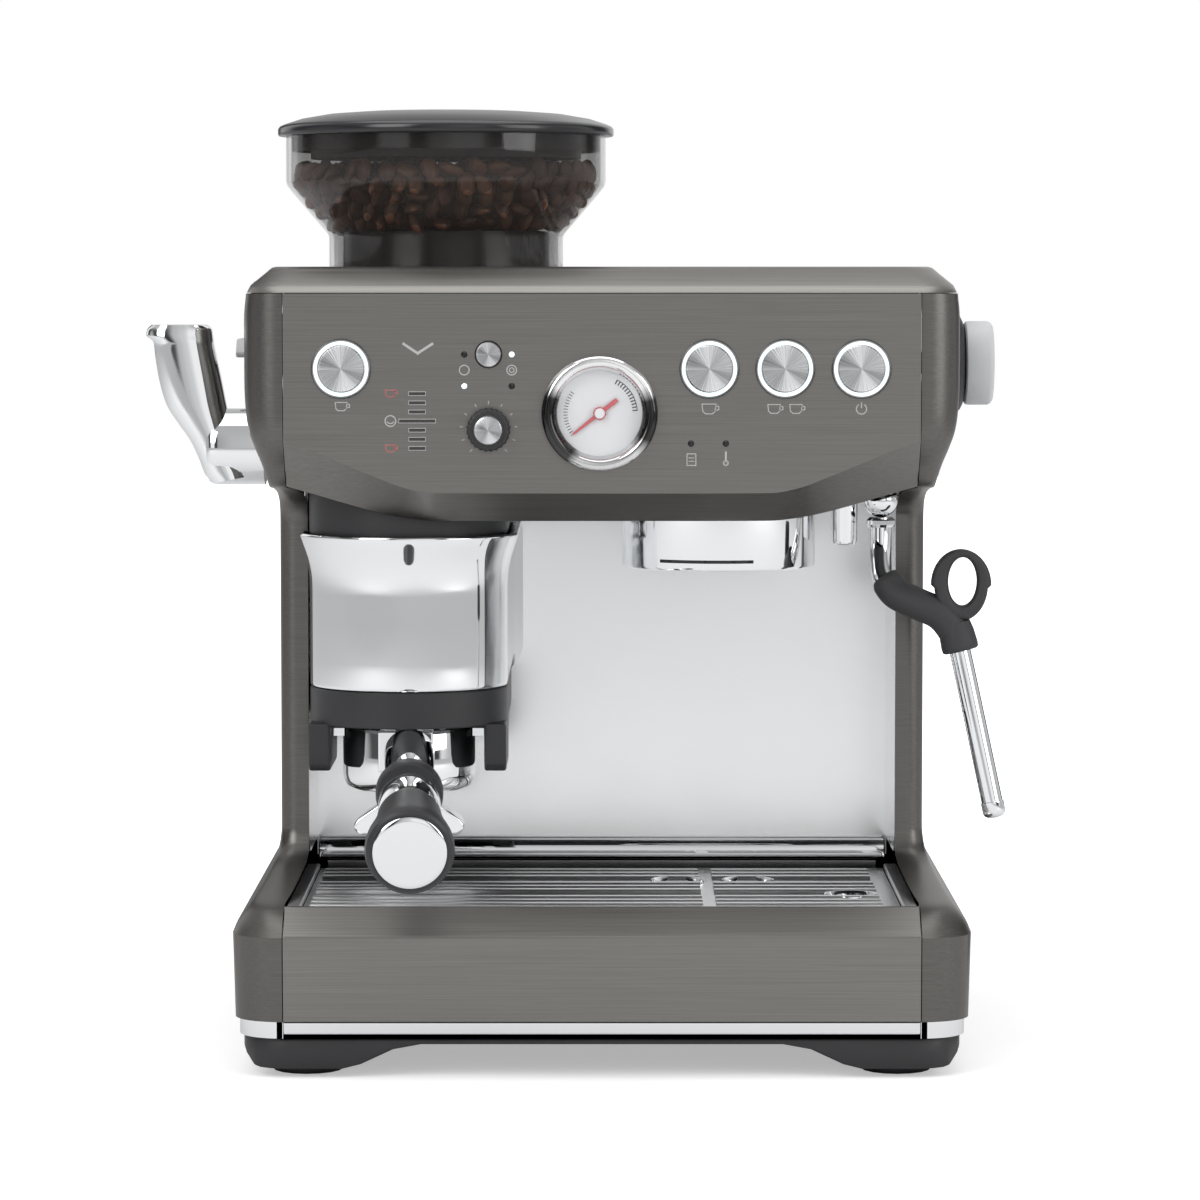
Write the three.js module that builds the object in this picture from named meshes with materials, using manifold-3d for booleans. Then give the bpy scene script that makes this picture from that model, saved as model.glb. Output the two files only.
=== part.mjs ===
// Home espresso machine with a bean grinder, lever tamper, pump brew group and steam wand.
// Millimetres, +Z up, the front of the machine faces -Y. The origin is the centre of the footprint box, on the worktop.
// Inside this file every size is given from the machine's own datum: x = 0 on the centre line, y = 0 at the front
// face of the drip tray, z = 0 on the worktop. The last lines move the whole group to its origin.
import * as THREE from 'three';
import { mergeVertices } from 'three/addons/utils/BufferGeometryUtils.js';
import Module from 'manifold-3d';

const wasm = await Module();
wasm.setup();

// ---------------------------------------------------------------- driving dimensions
const GAP = 0.3;                 // between pieces that touch
const SHEET = 2.5;               // wall of moulded and pressed casings
const PANEL_WALL = 3;            // wall of the side panels
const BASE_HALF = 160;           // half width of the base
const COLUMN_HALF = 144.5;       // half width of the columns
const HEAD_HALF = 155;           // half width of the head
const BAY_HALF = 131.7;          // half width of the open cup bay at the columns
const PANEL_HALF = 137.2;        // half width of the fascia and of the drip tray front
const HEAD_FRONT = 20;           // y of the fascia
const FASCIA_FOOT = 40;          // y of the fascia's bottom edge
const COLUMN_FRONT = 100;        // y of the columns' front edge
const SPLASH_Y = 178;            // y of the polished panel behind the cups
const SPINE_Y = 236;             // y where the housing ends and the water tank starts
const BACK = 300;                // y of the back of the base
const PAN_TOP = 17.2;            // z of the base pan's deck
const TRIM_TOP = 24.6;           // z of the top of the bright band round the base
const CREASE_Z = 61.4;           // z of the crease along the base
const TRAY_TOP = 73;             // z of the drip grid
const RAIL_Z = 78.8;             // z of the rounded rail behind the drip grid
const SHELF_Z = 96.7;            // z of the shelf that the water tank stands on
const UNDER_Z = 254;             // z of the head's underside
const CHASSIS_TOP = 316;         // z of the chassis frame's top flange
const DECK_Z = 258;              // z of the chassis deck
const FASCIA_TOP = 337.4;        // z of the joint between fascia and top cover
const TOP_Z = 349;               // z of the top cover's deck
const GROUP_R = 43;              // brew group
const SPOUT_X = 108.3;           // hot water spout
const SPOUT_Y = 92;
const BREW_X = SPOUT_X - 13.3 - GROUP_R;     // brew group centre
const BREW_Y = FASCIA_FOOT + 12 + GROUP_R;
const GROUP_FOOT = 215.7;        // z of the group head's lower rim
const TAMP_X = -86;              // tamping station centre
const TAMP_Y = 88;
const CRADLE_Z = 147;            // z of the cradle that the portafilter hangs from
const SHROUD_FOOT = 163.2;       // z of the bright shroud's lower edge
const SHROUD_TOP = 231.2;
const TAMPER_R = 22.8;
const FILTER_R = 29.5;           // outer radius of the portafilter's cup
const FILTER_FOOT = 116.8;
const HOPPER_X = -71;            // grinder and bean hopper centre
const HOPPER_Y = 150;
const NECK_R = 53.35;            // hopper neck
const HOPPER_R = 72.8;           // hopper wall
const CONE_FOOT = TOP_Z + 15;     // hopper cone
const CONE_TOP = TOP_Z + 37.7;
const HOPPER_TOP = TOP_Z + 59;
const LEVER_Y = 95;              // tamp lever pivot
const LEVER_Z = 269;
const PINION_R = 18;             // pitch radius of the lever's pinion
const PINION_TEETH = 16;
const BUTTON_Z = 305.1;          // row of the large buttons
const BUTTON_X = { dose: -112.2, one_cup: 46.2, two_cup: 78.8, power: 111.6 };
const BUTTON_R = 10;
const RING_R = 12.6;             // outer radius of a button's light ring
const FILTER_X = -48.8;          // column of the small filter button and the dose knob
const FILTER_Z = 311.3;
const KNOB_Z = 279;
const KNOB_R = 9.5;
const GAUGE_X = -1;
const GAUGE_Z = 286;
const GAUGE_R = 25;
const DIAL_R = 19;
const METER_X = -79.5;           // dose level bars
const METER_Z = 282.7;
const METER_PITCH = 3.92;
const STEAM_DIAL_Y = 110;
const STEAM_DIAL_Z = 306;
const GRIND_DIAL_Y = 152;
const GRIND_DIAL_Z = 312.5;
const WAND_X = 124;              // steam wand ball
const WAND_Y = 85;
const WAND_Z = 245.6;
const WAND_R = 4.4;              // steam wand tube
const HANDLE_YAW = 2.35;         // degrees that the portafilter handle turns to the middle
const HANDLE_DROOP = 9.8;        // degrees that the handle slopes down
const TANK_HALF = 140;
const TANK_TOP = 338;
const RUNNING = 0.5;             // clearance of pieces that turn or slide in one another
const RAIL_R = 5.1;              // rounded rail behind the drip grid
const FOOT_X = 128;              // feet
const FOOT_R = 16;
const FOOT_Y = [30, 268];
const LOBE_Z = 4;                // z of the pan's lowest face
const TRAY_FLOOR = 27;           // z of the drip tray's underside
const TUB_HALF = 130.5;          // drip tray tub
const TUB_FRONT = 17.5;
const TUB_BACK = 172;
const TUB_TOP = 69.6;
const RIDGE_PITCH = 11.8;        // of the drip grid's corrugations
const GLAND_R = 6.5;             // cord gland
const BAR_BACK = LEVER_Y - PINION_R + 1.5;   // y of the rack's tooth tips
const SHROUD_HALF = 43.9;        // half width of the tamping station's shroud
const EAR_Z = 143;               // middle height of the portafilter's ears
const BALL_R = 7.6;              // steam wand's ball joint
const FILTER_R_BUTTON = 5.6;     // small button
const LIGHT_R = 1.2;
const CAN_R = 22;                // gauge can behind the fascia
const LIGHTS = [                 // x, z of the small lamps
  [FILTER_X - 10.4, FILTER_Z], [FILTER_X + 10, FILTER_Z], [FILTER_X - 10.4, KNOB_Z + 18.7], [FILTER_X + 10, KNOB_Z + 18.7],
  [38.3, 273], [53.3, 273],
];
const METER_BARS = [3, 2, 1, 0, -1, -2, -3].map((i) => [METER_Z + i * METER_PITCH, i === 0 ? 7.8 : 3.5]);
const PRESS = 1.5;               // travel of the push buttons
const SCALE_START = 218;         // degrees of the needle at zero, from +X anticlockwise

// ---------------------------------------------------------------- materials
const paint = (color, roughness, metalness) => new THREE.MeshStandardMaterial({ color, roughness, metalness });
const DARK_STEEL = paint(0x6f6c68, 0.38, 0.9);
const CHROME = paint(0xdadcde, 0.08, 1);
const STEEL = paint(0xb9babb, 0.3, 1);
const BLACK_PLASTIC = paint(0x2b2c2e, 0.5, 0);
const RUBBER = paint(0x1c1c1d, 0.85, 0);
const SMOKED = new THREE.MeshStandardMaterial({ color: 0x3a3836, roughness: 0.1, transparent: true, opacity: 0.4 });
const LIT_WHITE = paint(0xf2fafc, 0.4, 0);
const GREY_PLASTIC = paint(0xc3c4c5, 0.5, 0);
const DIAL_WHITE = paint(0xe9ebec, 0.6, 0);
const RED = paint(0xb5363a, 0.5, 0);
const BOARD_GREEN = paint(0x24503a, 0.6, 0);
const BRASS = paint(0xb8924f, 0.35, 1);

// ---------------------------------------------------------------- shape helpers
const bare = (geometry) => {
  const open = geometry.index ? geometry.toNonIndexed() : geometry;
  return mergeVertices(new THREE.BufferGeometry().setAttribute('position', open.getAttribute('position')), 1e-3);
};

// A closed geometry as a solid that can be cut and joined.
function solid(geometry) {
  const merged = bare(geometry);
  return new wasm.Manifold(new wasm.Mesh({
    numProp: 3,
    vertProperties: merged.attributes.position.array,
    triVerts: new Uint32Array(merged.index.array),
  }));
}

function geometryOf(made) {
  const data = made.getMesh();
  return new THREE.BufferGeometry()
    .setAttribute('position', new THREE.BufferAttribute(new Float32Array(data.vertProperties), 3))
    .setIndex(new THREE.BufferAttribute(new Uint32Array(data.triVerts), 1));
}

function piece(name, made, material, x = 0, y = 0, z = 0) {
  const mesh = new THREE.Mesh(geometryOf(made), material);
  mesh.name = name;
  mesh.position.set(x, y, z);
  return mesh;
}

const join = (...parts) => parts.reduce((a, b) => a.add(b));
const cut = (body, ...tools) => tools.reduce((a, b) => a.subtract(b), body);
const box = (x0, x1, y0, y1, z0, z1) =>
  solid(new THREE.BoxGeometry(x1 - x0, y1 - y0, z1 - z0).translate((x0 + x1) / 2, (y0 + y1) / 2, (z0 + z1) / 2));
const rodX = (x0, x1, y, z, r, sides = 16) =>
  solid(new THREE.CylinderGeometry(r, r, x1 - x0, sides).rotateZ(Math.PI / 2).translate((x0 + x1) / 2, y, z));
const rodY = (y0, y1, x, z, r, sides = 16) =>
  solid(new THREE.CylinderGeometry(r, r, y1 - y0, sides).translate(x, (y0 + y1) / 2, z));
const rodZ = (z0, z1, x, y, r, sides = 16) =>
  solid(new THREE.CylinderGeometry(r, r, z1 - z0, sides).rotateX(Math.PI / 2).translate(x, y, (z0 + z1) / 2));
const ball = (x, y, z, r) => solid(new THREE.SphereGeometry(r, 12, 8).translate(x, y, z));

function extruded(outline, length) {
  const shape = new THREE.Shape(outline.map(([u, v]) => new THREE.Vector2(u, v)));
  return new THREE.ExtrudeGeometry(shape, { depth: length, bevelEnabled: false, curveSegments: 1 });
}
// Outlines of (y, z), (x, z) and (x, y) points, run along the axis that is left.
const prismX = (outline, x0, x1) => solid(extruded(outline, x1 - x0)
  .applyMatrix4(new THREE.Matrix4().makeBasis(
    new THREE.Vector3(0, 1, 0), new THREE.Vector3(0, 0, 1), new THREE.Vector3(1, 0, 0)))
  .translate(x0, 0, 0));
const prismY = (outline, y0, y1) => solid(extruded(outline, y1 - y0).rotateX(Math.PI / 2).translate(0, y1, 0));
const prismZ = (outline, z0, z1) => solid(extruded(outline, z1 - z0).translate(0, 0, z0));

// A closed (radius, height) profile turned about Z.
const turned = (profile, sides = 20) => {
  const loop = [...profile, profile[0]].map(([r, h]) => new THREE.Vector2(r, h));
  const made = solid(new THREE.LatheGeometry(loop, sides).rotateX(Math.PI / 2));
  return made.volume() < 0 ? solid(new THREE.LatheGeometry(loop.reverse(), sides).rotateX(Math.PI / 2)) : made;
};
const turnedY = (profile, sides = 20) => turned(profile, sides).rotate([90, 0, 0]);

// Points of an arc in degrees.
const arc = (cx, cy, r, from, to, steps = 6) => Array.from({ length: steps + 1 }, (_, i) => {
  const a = THREE.MathUtils.degToRad(from + ((to - from) * i) / steps);
  return [cx + r * Math.cos(a), cy + r * Math.sin(a)];
});

// A rectangle with round corners.
const roundRect = (x0, x1, y0, y1, r, steps = 4) => [
  ...arc(x1 - r, y0 + r, r, -90, 0, steps), ...arc(x1 - r, y1 - r, r, 0, 90, steps),
  ...arc(x0 + r, y1 - r, r, 90, 180, steps), ...arc(x0 + r, y0 + r, r, 180, 270, steps),
];

// A U in plan: a half round front of that half width about (cx, cy), and straight sides back to y1.
const uPlan = (cx, cy, half, y1, steps = 16) => [...arc(cx, cy, half, 180, 360, steps), [cx + half, y1], [cx - half, y1]];

// Joins rings of [x, y, z] points, all with the same count, into one closed skin with flat ends.
function loft(rings) {
  const count = rings[0].length;
  const vertices = rings.flat(2);
  const index = [];
  rings.slice(1).forEach((_, k) => {
    for (let i = 0; i < count; i += 1) {
      const j = (i + 1) % count;
      const [a, b, c, d] = [k * count + i, k * count + j, (k + 1) * count + j, (k + 1) * count + i];
      index.push(a, b, c, a, c, d);
    }
  });
  const spans = [0, 1, 2].map((axis) => {
    const values = rings[0].map((p) => p[axis]);
    return Math.max(...values) - Math.min(...values);
  });
  const flat = spans.indexOf(Math.min(...spans));
  const [u, v] = [0, 1, 2].filter((axis) => axis !== flat);
  const last = (rings.length - 1) * count;
  // A cap's triangles wind as its ring does at the far end, and the other way at the near end.
  const cap = (ring, offset, reversed) => {
    const points = ring.map((p) => new THREE.Vector2(p[u], p[v]));
    const winding = THREE.ShapeUtils.area(points);
    THREE.ShapeUtils.triangulateShape(points, []).forEach(([a, b, c]) => {
      const same = THREE.ShapeUtils.area([points[a], points[b], points[c]]) * winding > 0;
      const flip = same === reversed;
      index.push(offset + a, offset + (flip ? c : b), offset + (flip ? b : c));
    });
  };
  cap(rings[0], 0, true);
  cap(rings[rings.length - 1], last, false);
  const build = (order) => new THREE.BufferGeometry()
    .setAttribute('position', new THREE.BufferAttribute(new Float32Array(vertices), 3)).setIndex(order);
  const made = solid(build(index));
  if (made.volume() > 0) return made;
  const reversed = [];
  for (let i = 0; i < index.length; i += 3) reversed.push(index[i], index[i + 2], index[i + 1]);
  return solid(build(reversed));
}

// Linear interpolation in a list of [key, value] stations.
function along(stations, key) {
  const next = stations.findIndex(([k]) => k >= key);
  if (next <= 0) return stations[next === 0 ? 0 : stations.length - 1][1];
  const [[k0, v0], [k1, v1]] = [stations[next - 1], stations[next]];
  return v0 + ((v1 - v0) * (key - k0)) / (k1 - k0);
}
const mirrorX = (made) => made.mirror([1, 0, 0]);

// ---------------------------------------------------------------- side panels
// Stations up a cheek: z, y of the front edge, outer half width, inner half width, front corner radius.
const CHEEK_INNER = PANEL_HALF + GAP;
const CHEEK = [
  [TRIM_TOP + GAP, 1.5, BASE_HALF - 1, CHEEK_INNER, 20],
  [CREASE_Z, 0, BASE_HALF, CHEEK_INNER, 21],
  [CREASE_Z + 4.8, 4.6, BASE_HALF - 2, CHEEK_INNER, 19],
  [CREASE_Z + 9.3, 11, BASE_HALF - 5.4, CHEEK_INNER, 15],
  [TRAY_TOP, 16.5, BASE_HALF - 7.4, CHEEK_INNER, 13],
  [TRAY_TOP + 3.4, 42, COLUMN_HALF + 5.7, CHEEK_INNER - 2.2, 11],
  [TRAY_TOP + 7, 68, COLUMN_HALF + 3.6, BAY_HALF + 1.8, 9],
  [TRAY_TOP + 10.5, 87, COLUMN_HALF + 2.2, BAY_HALF + 0.5, 8],
  [TRAY_TOP + 15, COLUMN_FRONT - 4, COLUMN_HALF + 1.1, BAY_HALF, 8],
  [TRAY_TOP + 20, COLUMN_FRONT - 1, COLUMN_HALF + 0.3, BAY_HALF, 8],
  [TRAY_TOP + 26, COLUMN_FRONT, COLUMN_HALF, BAY_HALF, 8],
  [UNDER_Z - 19, COLUMN_FRONT, COLUMN_HALF, BAY_HALF, 8],
  [UNDER_Z - 11, COLUMN_FRONT - 3.5, COLUMN_HALF, BAY_HALF, 8],
  [UNDER_Z - 6, COLUMN_FRONT - 14, COLUMN_HALF + 0.2, BAY_HALF + 1, 9],
  [UNDER_Z - 2.5, COLUMN_FRONT - 38, COLUMN_HALF + 0.4, BAY_HALF + 3.5, 10],
  [UNDER_Z - 0.5, FASCIA_FOOT, COLUMN_HALF + 0.6, CHEEK_INNER, 7],
  [UNDER_Z + 9, HEAD_FRONT + 11, COLUMN_HALF + 3.2, CHEEK_INNER, 10],
  [UNDER_Z + 17, HEAD_FRONT + 4, HEAD_HALF - 4.3, CHEEK_INNER, 13],
  [UNDER_Z + 24, HEAD_FRONT + 0.6, HEAD_HALF - 2, CHEEK_INNER, 15],
  [UNDER_Z + 32, HEAD_FRONT, HEAD_HALF - 0.7, CHEEK_INNER, 17],
  [UNDER_Z + 46, HEAD_FRONT, HEAD_HALF, CHEEK_INNER, 17],
  [FASCIA_TOP - 12, HEAD_FRONT, HEAD_HALF, CHEEK_INNER, 17],
  [FASCIA_TOP, HEAD_FRONT, HEAD_HALF - 1, CHEEK_INNER, 17],
];
const outerHalf = (z) => along(CHEEK.map(([h, , half]) => [h, half]), z);
// Half width between the side panels' inner faces, less a gap.
const insideHalf = (z) => outerHalf(z) - PANEL_WALL - GAP;

function cheekRing([z, front, outer, inner, radius], inset, inward) {
  const r = Math.max(Math.min(radius, outer - inner - 1) - inset, 1);
  const [x0, x1, y0] = [inner - inward, outer - inset, front + inset];
  return [[x0, BACK + inward], [x0, y0], ...arc(x1 - r, y0 + r, r, -90, 0, 4), [x1, BACK + inward]]
    .map(([x, y]) => [x, y, z]);
}

function sidePanel() {
  const skin = loft(CHEEK.map((station) => cheekRing(station, 0, 0)));
  const extended = CHEEK.map((station) => [...station]);
  extended[0][0] -= 1;
  extended[extended.length - 1][0] += 1;
  const hollow = loft(extended.map((station) => cheekRing(station, PANEL_WALL, 8)));
  const tankBay = box(BAY_HALF - 20, BASE_HALF + 5, SPINE_Y, BACK + 5, SHELF_Z + GAP, FASCIA_TOP + 5);
  return cut(skin, hollow, tankBay);
}

function sidePanelLeft() {
  const lever = rodX(-HEAD_HALF - 5, -COLUMN_HALF + 20, LEVER_Y, LEVER_Z, 17 + RUNNING, 24);
  const dial = rodX(-HEAD_HALF - 5, -HEAD_HALF + 20, GRIND_DIAL_Y, GRIND_DIAL_Z, 6 + RUNNING);
  return cut(mirrorX(sidePanel()), lever, dial);
}

function sidePanelRight() {
  return cut(sidePanel(), rodX(HEAD_HALF - 20, HEAD_HALF + 5, STEAM_DIAL_Y, STEAM_DIAL_Z, 8 + RUNNING));
}

// ---------------------------------------------------------------- base

function basePan() {
  const half = BASE_HALF - 4.5;
  const side = [
    [half, PAN_TOP], [half, 11], [half - 5, LOBE_Z + 0.8], [half - 8, LOBE_Z],
    [112, LOBE_Z], [104, LOBE_Z + 2], [90, 12.5], [78, PAN_TOP - SHEET],
  ];
  const outline = [...side, ...side.map(([x, z]) => [-x, z]).reverse()].reverse();
  const pan = prismY(outline, 0, BACK).intersect(prismZ(roundRect(-half, half, 4.5, BACK - 4.5, 20), 0, 30));
  const rails = [-1, 1].map((s) => box(s * 93 - 3, s * 93 + 3, 22, 168, PAN_TOP - 1, TRAY_FLOOR - GAP));
  const pockets = [-1, 1].map((s) => box(s * FOOT_X - 13, s * FOOT_X + 13, 52, BACK - 56, 0, PAN_TOP - SHEET));
  const seats = [-1, 1].flatMap((s) => FOOT_Y.map((y) => rodZ(0, 10, s * FOOT_X, y, 5 + GAP)));
  return cut(join(pan, ...rails), ...pockets, ...seats);
}

function foot() {
  const top = LOBE_Z - GAP;
  return turned([[0, 0], [FOOT_R - 1, 0], [FOOT_R, 1.2], [FOOT_R, top], [5, top], [5, 9.5], [0, 9.5]], 16);
}

// The bright band under the side panels and across the back, open where the drip tray's own band runs.
function baseTrim() {
  const half = BASE_HALF - 2.8;
  const outer = prismZ(roundRect(-half, half, 2.8, BACK - 2.8, 20), PAN_TOP + GAP, TRIM_TOP);
  const inner = prismZ(roundRect(6 - half, half - 6, 8.8, BACK - 8.8, 14), 0, 40);
  return cut(outer, inner, box(-CHEEK_INNER, CHEEK_INNER, 0, 12, 0, 40));
}

// ---------------------------------------------------------------- drip tray

function dripTrayTub() {
  const outer = prismZ(roundRect(-TUB_HALF, TUB_HALF, TUB_FRONT, TUB_BACK, 8), TRAY_FLOOR, TUB_TOP);
  return cut(outer, prismZ(roundRect(2 - TUB_HALF, TUB_HALF - 2, TUB_FRONT + 2, TUB_BACK - 2, 6),
    TRAY_FLOOR + 2, TUB_TOP + 5));
}

// The tray's front cover, a bent sheet with the crease along its top and a bright band along its foot.
function dripTrayFront() {
  const back = TUB_FRONT - GAP;
  const foot = TRIM_TOP + GAP;
  return prismX([
    [9, PAN_TOP + GAP], [9, foot], [back, foot], [back, foot + SHEET], [4, foot + SHEET],
    [SHEET, CREASE_Z - 1], [15.8, TRAY_TOP - SHEET], [back, TRAY_TOP - SHEET], [back, TRAY_TOP],
    [15, TRAY_TOP], [0, CREASE_Z], [1.5, foot], [2.8, TRIM_TOP],
    [3, 19.5], [5.5, PAN_TOP + GAP],
  ].reverse(), -PANEL_HALF, PANEL_HALF);
}

function dripGrid() {
  const [y0, y1] = [TUB_FRONT + 0.2, SPLASH_Y - 6 - RAIL_R - RUNNING];
  const ridges = Math.floor((y1 - y0 - 14) / RIDGE_PITCH);
  const start = (y0 + y1 - ridges * RIDGE_PITCH) / 2;
  const low = TRAY_TOP - 3.1;
  const high = TRAY_TOP - 0.1;
  const top = [[y0, high - 0.6]];
  const bottom = [[y0, low]];
  for (let i = 0; i < ridges; i += 1) {
    const y = start + i * RIDGE_PITCH;
    const wave = (drop) => [
      [y, low + 1.2 - drop], [y + 3, high - drop], [y + 6.2, high - drop], [y + 9.2, low + 1.2 - drop],
    ];
    top.push(...wave(0));
    bottom.push(...wave(1.2));
  }
  top.push([y1, high - 0.6]);
  bottom.push([y1, low]);
  const plate = prismX([...top].reverse().concat(bottom), -TUB_HALF, TUB_HALF);
  const slots = [];
  for (let i = 0; i < ridges - 1; i += 1) {
    const y = start + i * RIDGE_PITCH + 9.4;
    [-78, 78].forEach((x) => slots.push(box(x - 42, x + 42, y, y + 2.2, low - 2, high + 2)));
  }
  return cut(plate, ...slots);
}

// ---------------------------------------------------------------- housing
// The fascia's crease and lower edge rise from the middle to both sides. Each is given by half width: x, z.
const CREASE_LINE = [[0, 251.5], [74, 251.7], [84, 253.6], [96, 258], [112, 264.4], [126, 270.2], [PANEL_HALF, 274]];
const FOOT_LINE = [[0, 238.6], [76, 238.8], [86, 239.9], [98, 242.6], [112, 246.4], [126, 250.5], [PANEL_HALF, 253.6]];

function frontFascia() {
  const half = CREASE_LINE.map(([x]) => x);
  const stations = [...half.slice(1).reverse().map((x) => -x), ...half];
  const shell = loft(stations.map((x) => {
    const crease = along(CREASE_LINE, Math.abs(x));
    const edge = along(FOOT_LINE, Math.abs(x));
    return [
      [HEAD_FRONT, FASCIA_TOP], [HEAD_FRONT, crease], [FASCIA_FOOT, edge], [FASCIA_FOOT + 3.5, edge],
      [FASCIA_FOOT + 3.5, edge + SHEET], [FASCIA_FOOT + 0.5, edge + SHEET], [HEAD_FRONT + SHEET, crease + 1.2],
      [HEAD_FRONT + SHEET, FASCIA_TOP],
    ].map(([y, z]) => [x, y, z]);
  }));
  const hole = (x, z, r, sides = 16) => rodY(HEAD_FRONT - 3, HEAD_FRONT + 6, x, z, r + GAP, sides);
  const buttons = Object.values(BUTTON_X).map((x) => hole(x, BUTTON_Z, RING_R, 16));
  const knobs = [hole(FILTER_X, FILTER_Z, FILTER_R_BUTTON), hole(FILTER_X, KNOB_Z, 3.2, 16)];
  const lights = LIGHTS.map(([x, z]) => hole(x, z, LIGHT_R, 6));
  const bars = METER_BARS.map(([z, w]) => box(
    METER_X - w - GAP, METER_X + w + GAP, HEAD_FRONT - 3, HEAD_FRONT + 6, z - 0.8 - GAP, z + 0.8 + GAP));
  return cut(shell, hole(GAUGE_X, GAUGE_Z, CAN_R, 24), ...buttons, ...knobs, ...lights, ...bars);
}

const COVER = [                  // z, half width, y of the front edge, corner radius
  [FASCIA_TOP + GAP, HEAD_HALF - 1.3, HEAD_FRONT, 17],
  [FASCIA_TOP + 3.6, HEAD_HALF - 2.7, HEAD_FRONT + 4.5, 16],
  [TOP_Z - 2.6, HEAD_HALF - 8.6, HEAD_FRONT + 18, 14],
  [TOP_Z - 0.5, HEAD_HALF - 10.6, HEAD_FRONT + 23, 13],
  [TOP_Z, HEAD_HALF - 12.6, HEAD_FRONT + 26, 12],
];
const RACK = { x0: -6, x1: 134, y0: 54, y1: 224 };    // opening for the cup warming tray

function topCover() {
  const ring = ([z, half, front, radius], inset) => {
    const r = radius - inset;
    const [x, y] = [half - inset, front + inset];
    const back = SPINE_Y + (inset ? 5 : -GAP);
    return [[-x, back], ...arc(r - x, y + r, r, 180, 270, 4), ...arc(x - r, y + r, r, 270, 360, 4), [x, back]]
      .map(([u, v]) => [u, v, z]);
  };
  const skin = loft(COVER.map((station) => ring(station, 0)));
  const inner = COVER.map(([z, ...rest]) => [z - SHEET, ...rest]);
  const hollow = loft(inner.map((station) => ring(station, SHEET)));
  const back = box(-HEAD_HALF + 12, HEAD_HALF - 12, SPINE_Y - 3, SPINE_Y - GAP, FASCIA_TOP + GAP, TOP_Z - 1);
  const well = box(RACK.x0 - 3, RACK.x1 + 3, RACK.y0 - 3, RACK.y1 + 3, TOP_Z - 7, TOP_Z - 0.1);
  const opening = box(RACK.x0, RACK.x1, RACK.y0, RACK.y1, TOP_Z - 4.5, TOP_Z + 3);
  const through = box(RACK.x0 + 7, RACK.x1 - 7, RACK.y0 + 7, RACK.y1 - 7, TOP_Z - 12, TOP_Z + 3);
  const hopper = rodZ(FASCIA_TOP - 5, TOP_Z + 5, HOPPER_X, HOPPER_Y, NECK_R + RUNNING, 30);
  return cut(join(cut(skin, hollow), well, back), opening, through, hopper);
}

function cupWarmingTray() {
  const [x0, x1, y0, y1] = [RACK.x0 + GAP, RACK.x1 - GAP, RACK.y0 + GAP, RACK.y1 - GAP];
  const seat = TOP_Z - 4.5 + GAP;
  const plate = box(x0, x1, y0, y1, seat, seat + 1.6);
  const count = 9;
  const ribs = Array.from({ length: count }, (_, i) => {
    const x = x0 + ((x1 - x0) * (i + 0.5)) / count;
    return prismY([[x - 3, seat + 1], [x + 3, seat + 1], [x + 1.8, seat + 3.4], [x - 1.8, seat + 3.4]], y0 + 8, y1 - 8);
  });
  return join(plate, ...ribs);
}

// The wall behind the housing, with the shelf and skirt that the water tank stands over.
function rearCover() {
  const outline = (from, to) => {
    const zs = [from, ...CHEEK.map(([z]) => z).filter((z) => z > from && z < to), to];
    return [...zs.map((z) => [insideHalf(z), z]), ...zs.map((z) => [-insideHalf(z), z]).reverse()];
  };
  const skirt = prismY(outline(TRIM_TOP + GAP, SHELF_Z), BACK - 5.5, BACK - 3);
  const wall = prismY(outline(SHELF_Z - 1, FASCIA_TOP - 0.4), SPINE_Y - 3, SPINE_Y - 0.5);
  const half = insideHalf(SHELF_Z);
  const shelf = box(-half, half, SPINE_Y - 3, BACK - 3, SHELF_Z - SHEET, SHELF_Z);
  const vents = Array.from({ length: 8 }, (_, i) =>
    box(60 + i * 7, 63 + i * 7, SPINE_Y - 10, SPINE_Y + 5, 280, 310));
  return cut(join(skirt, wall, shelf), rodY(BACK - 10, BACK, 118, 48, GLAND_R + GAP), ...vents);
}

// Openings in the head's floor for all that passes down through it.
function floorHoles(z0, z1, gap) {
  return [
    rodZ(z0, z1, BREW_X, BREW_Y, 20 + gap, 32),
    box(TAMP_X - 9 - RUNNING, TAMP_X + 9 + RUNNING, BAR_BACK - 12.6 - RUNNING, BAR_BACK + RUNNING, z0, z1),
    rodZ(z0, z1, SPOUT_X, SPOUT_Y, 4.5 + gap, 16),
    rodZ(z0, z1, WAND_X, WAND_Y, 9.6 + gap, 24),
    box(TAMP_X - 10, TAMP_X + 10, LEVER_Y - 18.5, LEVER_Y + 18.5, z0, z1),
  ];
}

function headUnderside() {
  const front = FASCIA_FOOT + 3.5 + GAP;
  const plate = box(-PANEL_HALF, PANEL_HALF, front, SPLASH_Y - GAP, UNDER_Z + 0.3, UNDER_Z + 0.3 + SHEET);
  const lip = box(TAMP_X + 50, 74, front, front + 2, FOOT_LINE[0][1] + 1, UNDER_Z + 1);
  return cut(join(plate, lip), ...floorHoles(UNDER_Z - 3, UNDER_Z + 6, GAP));
}

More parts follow.
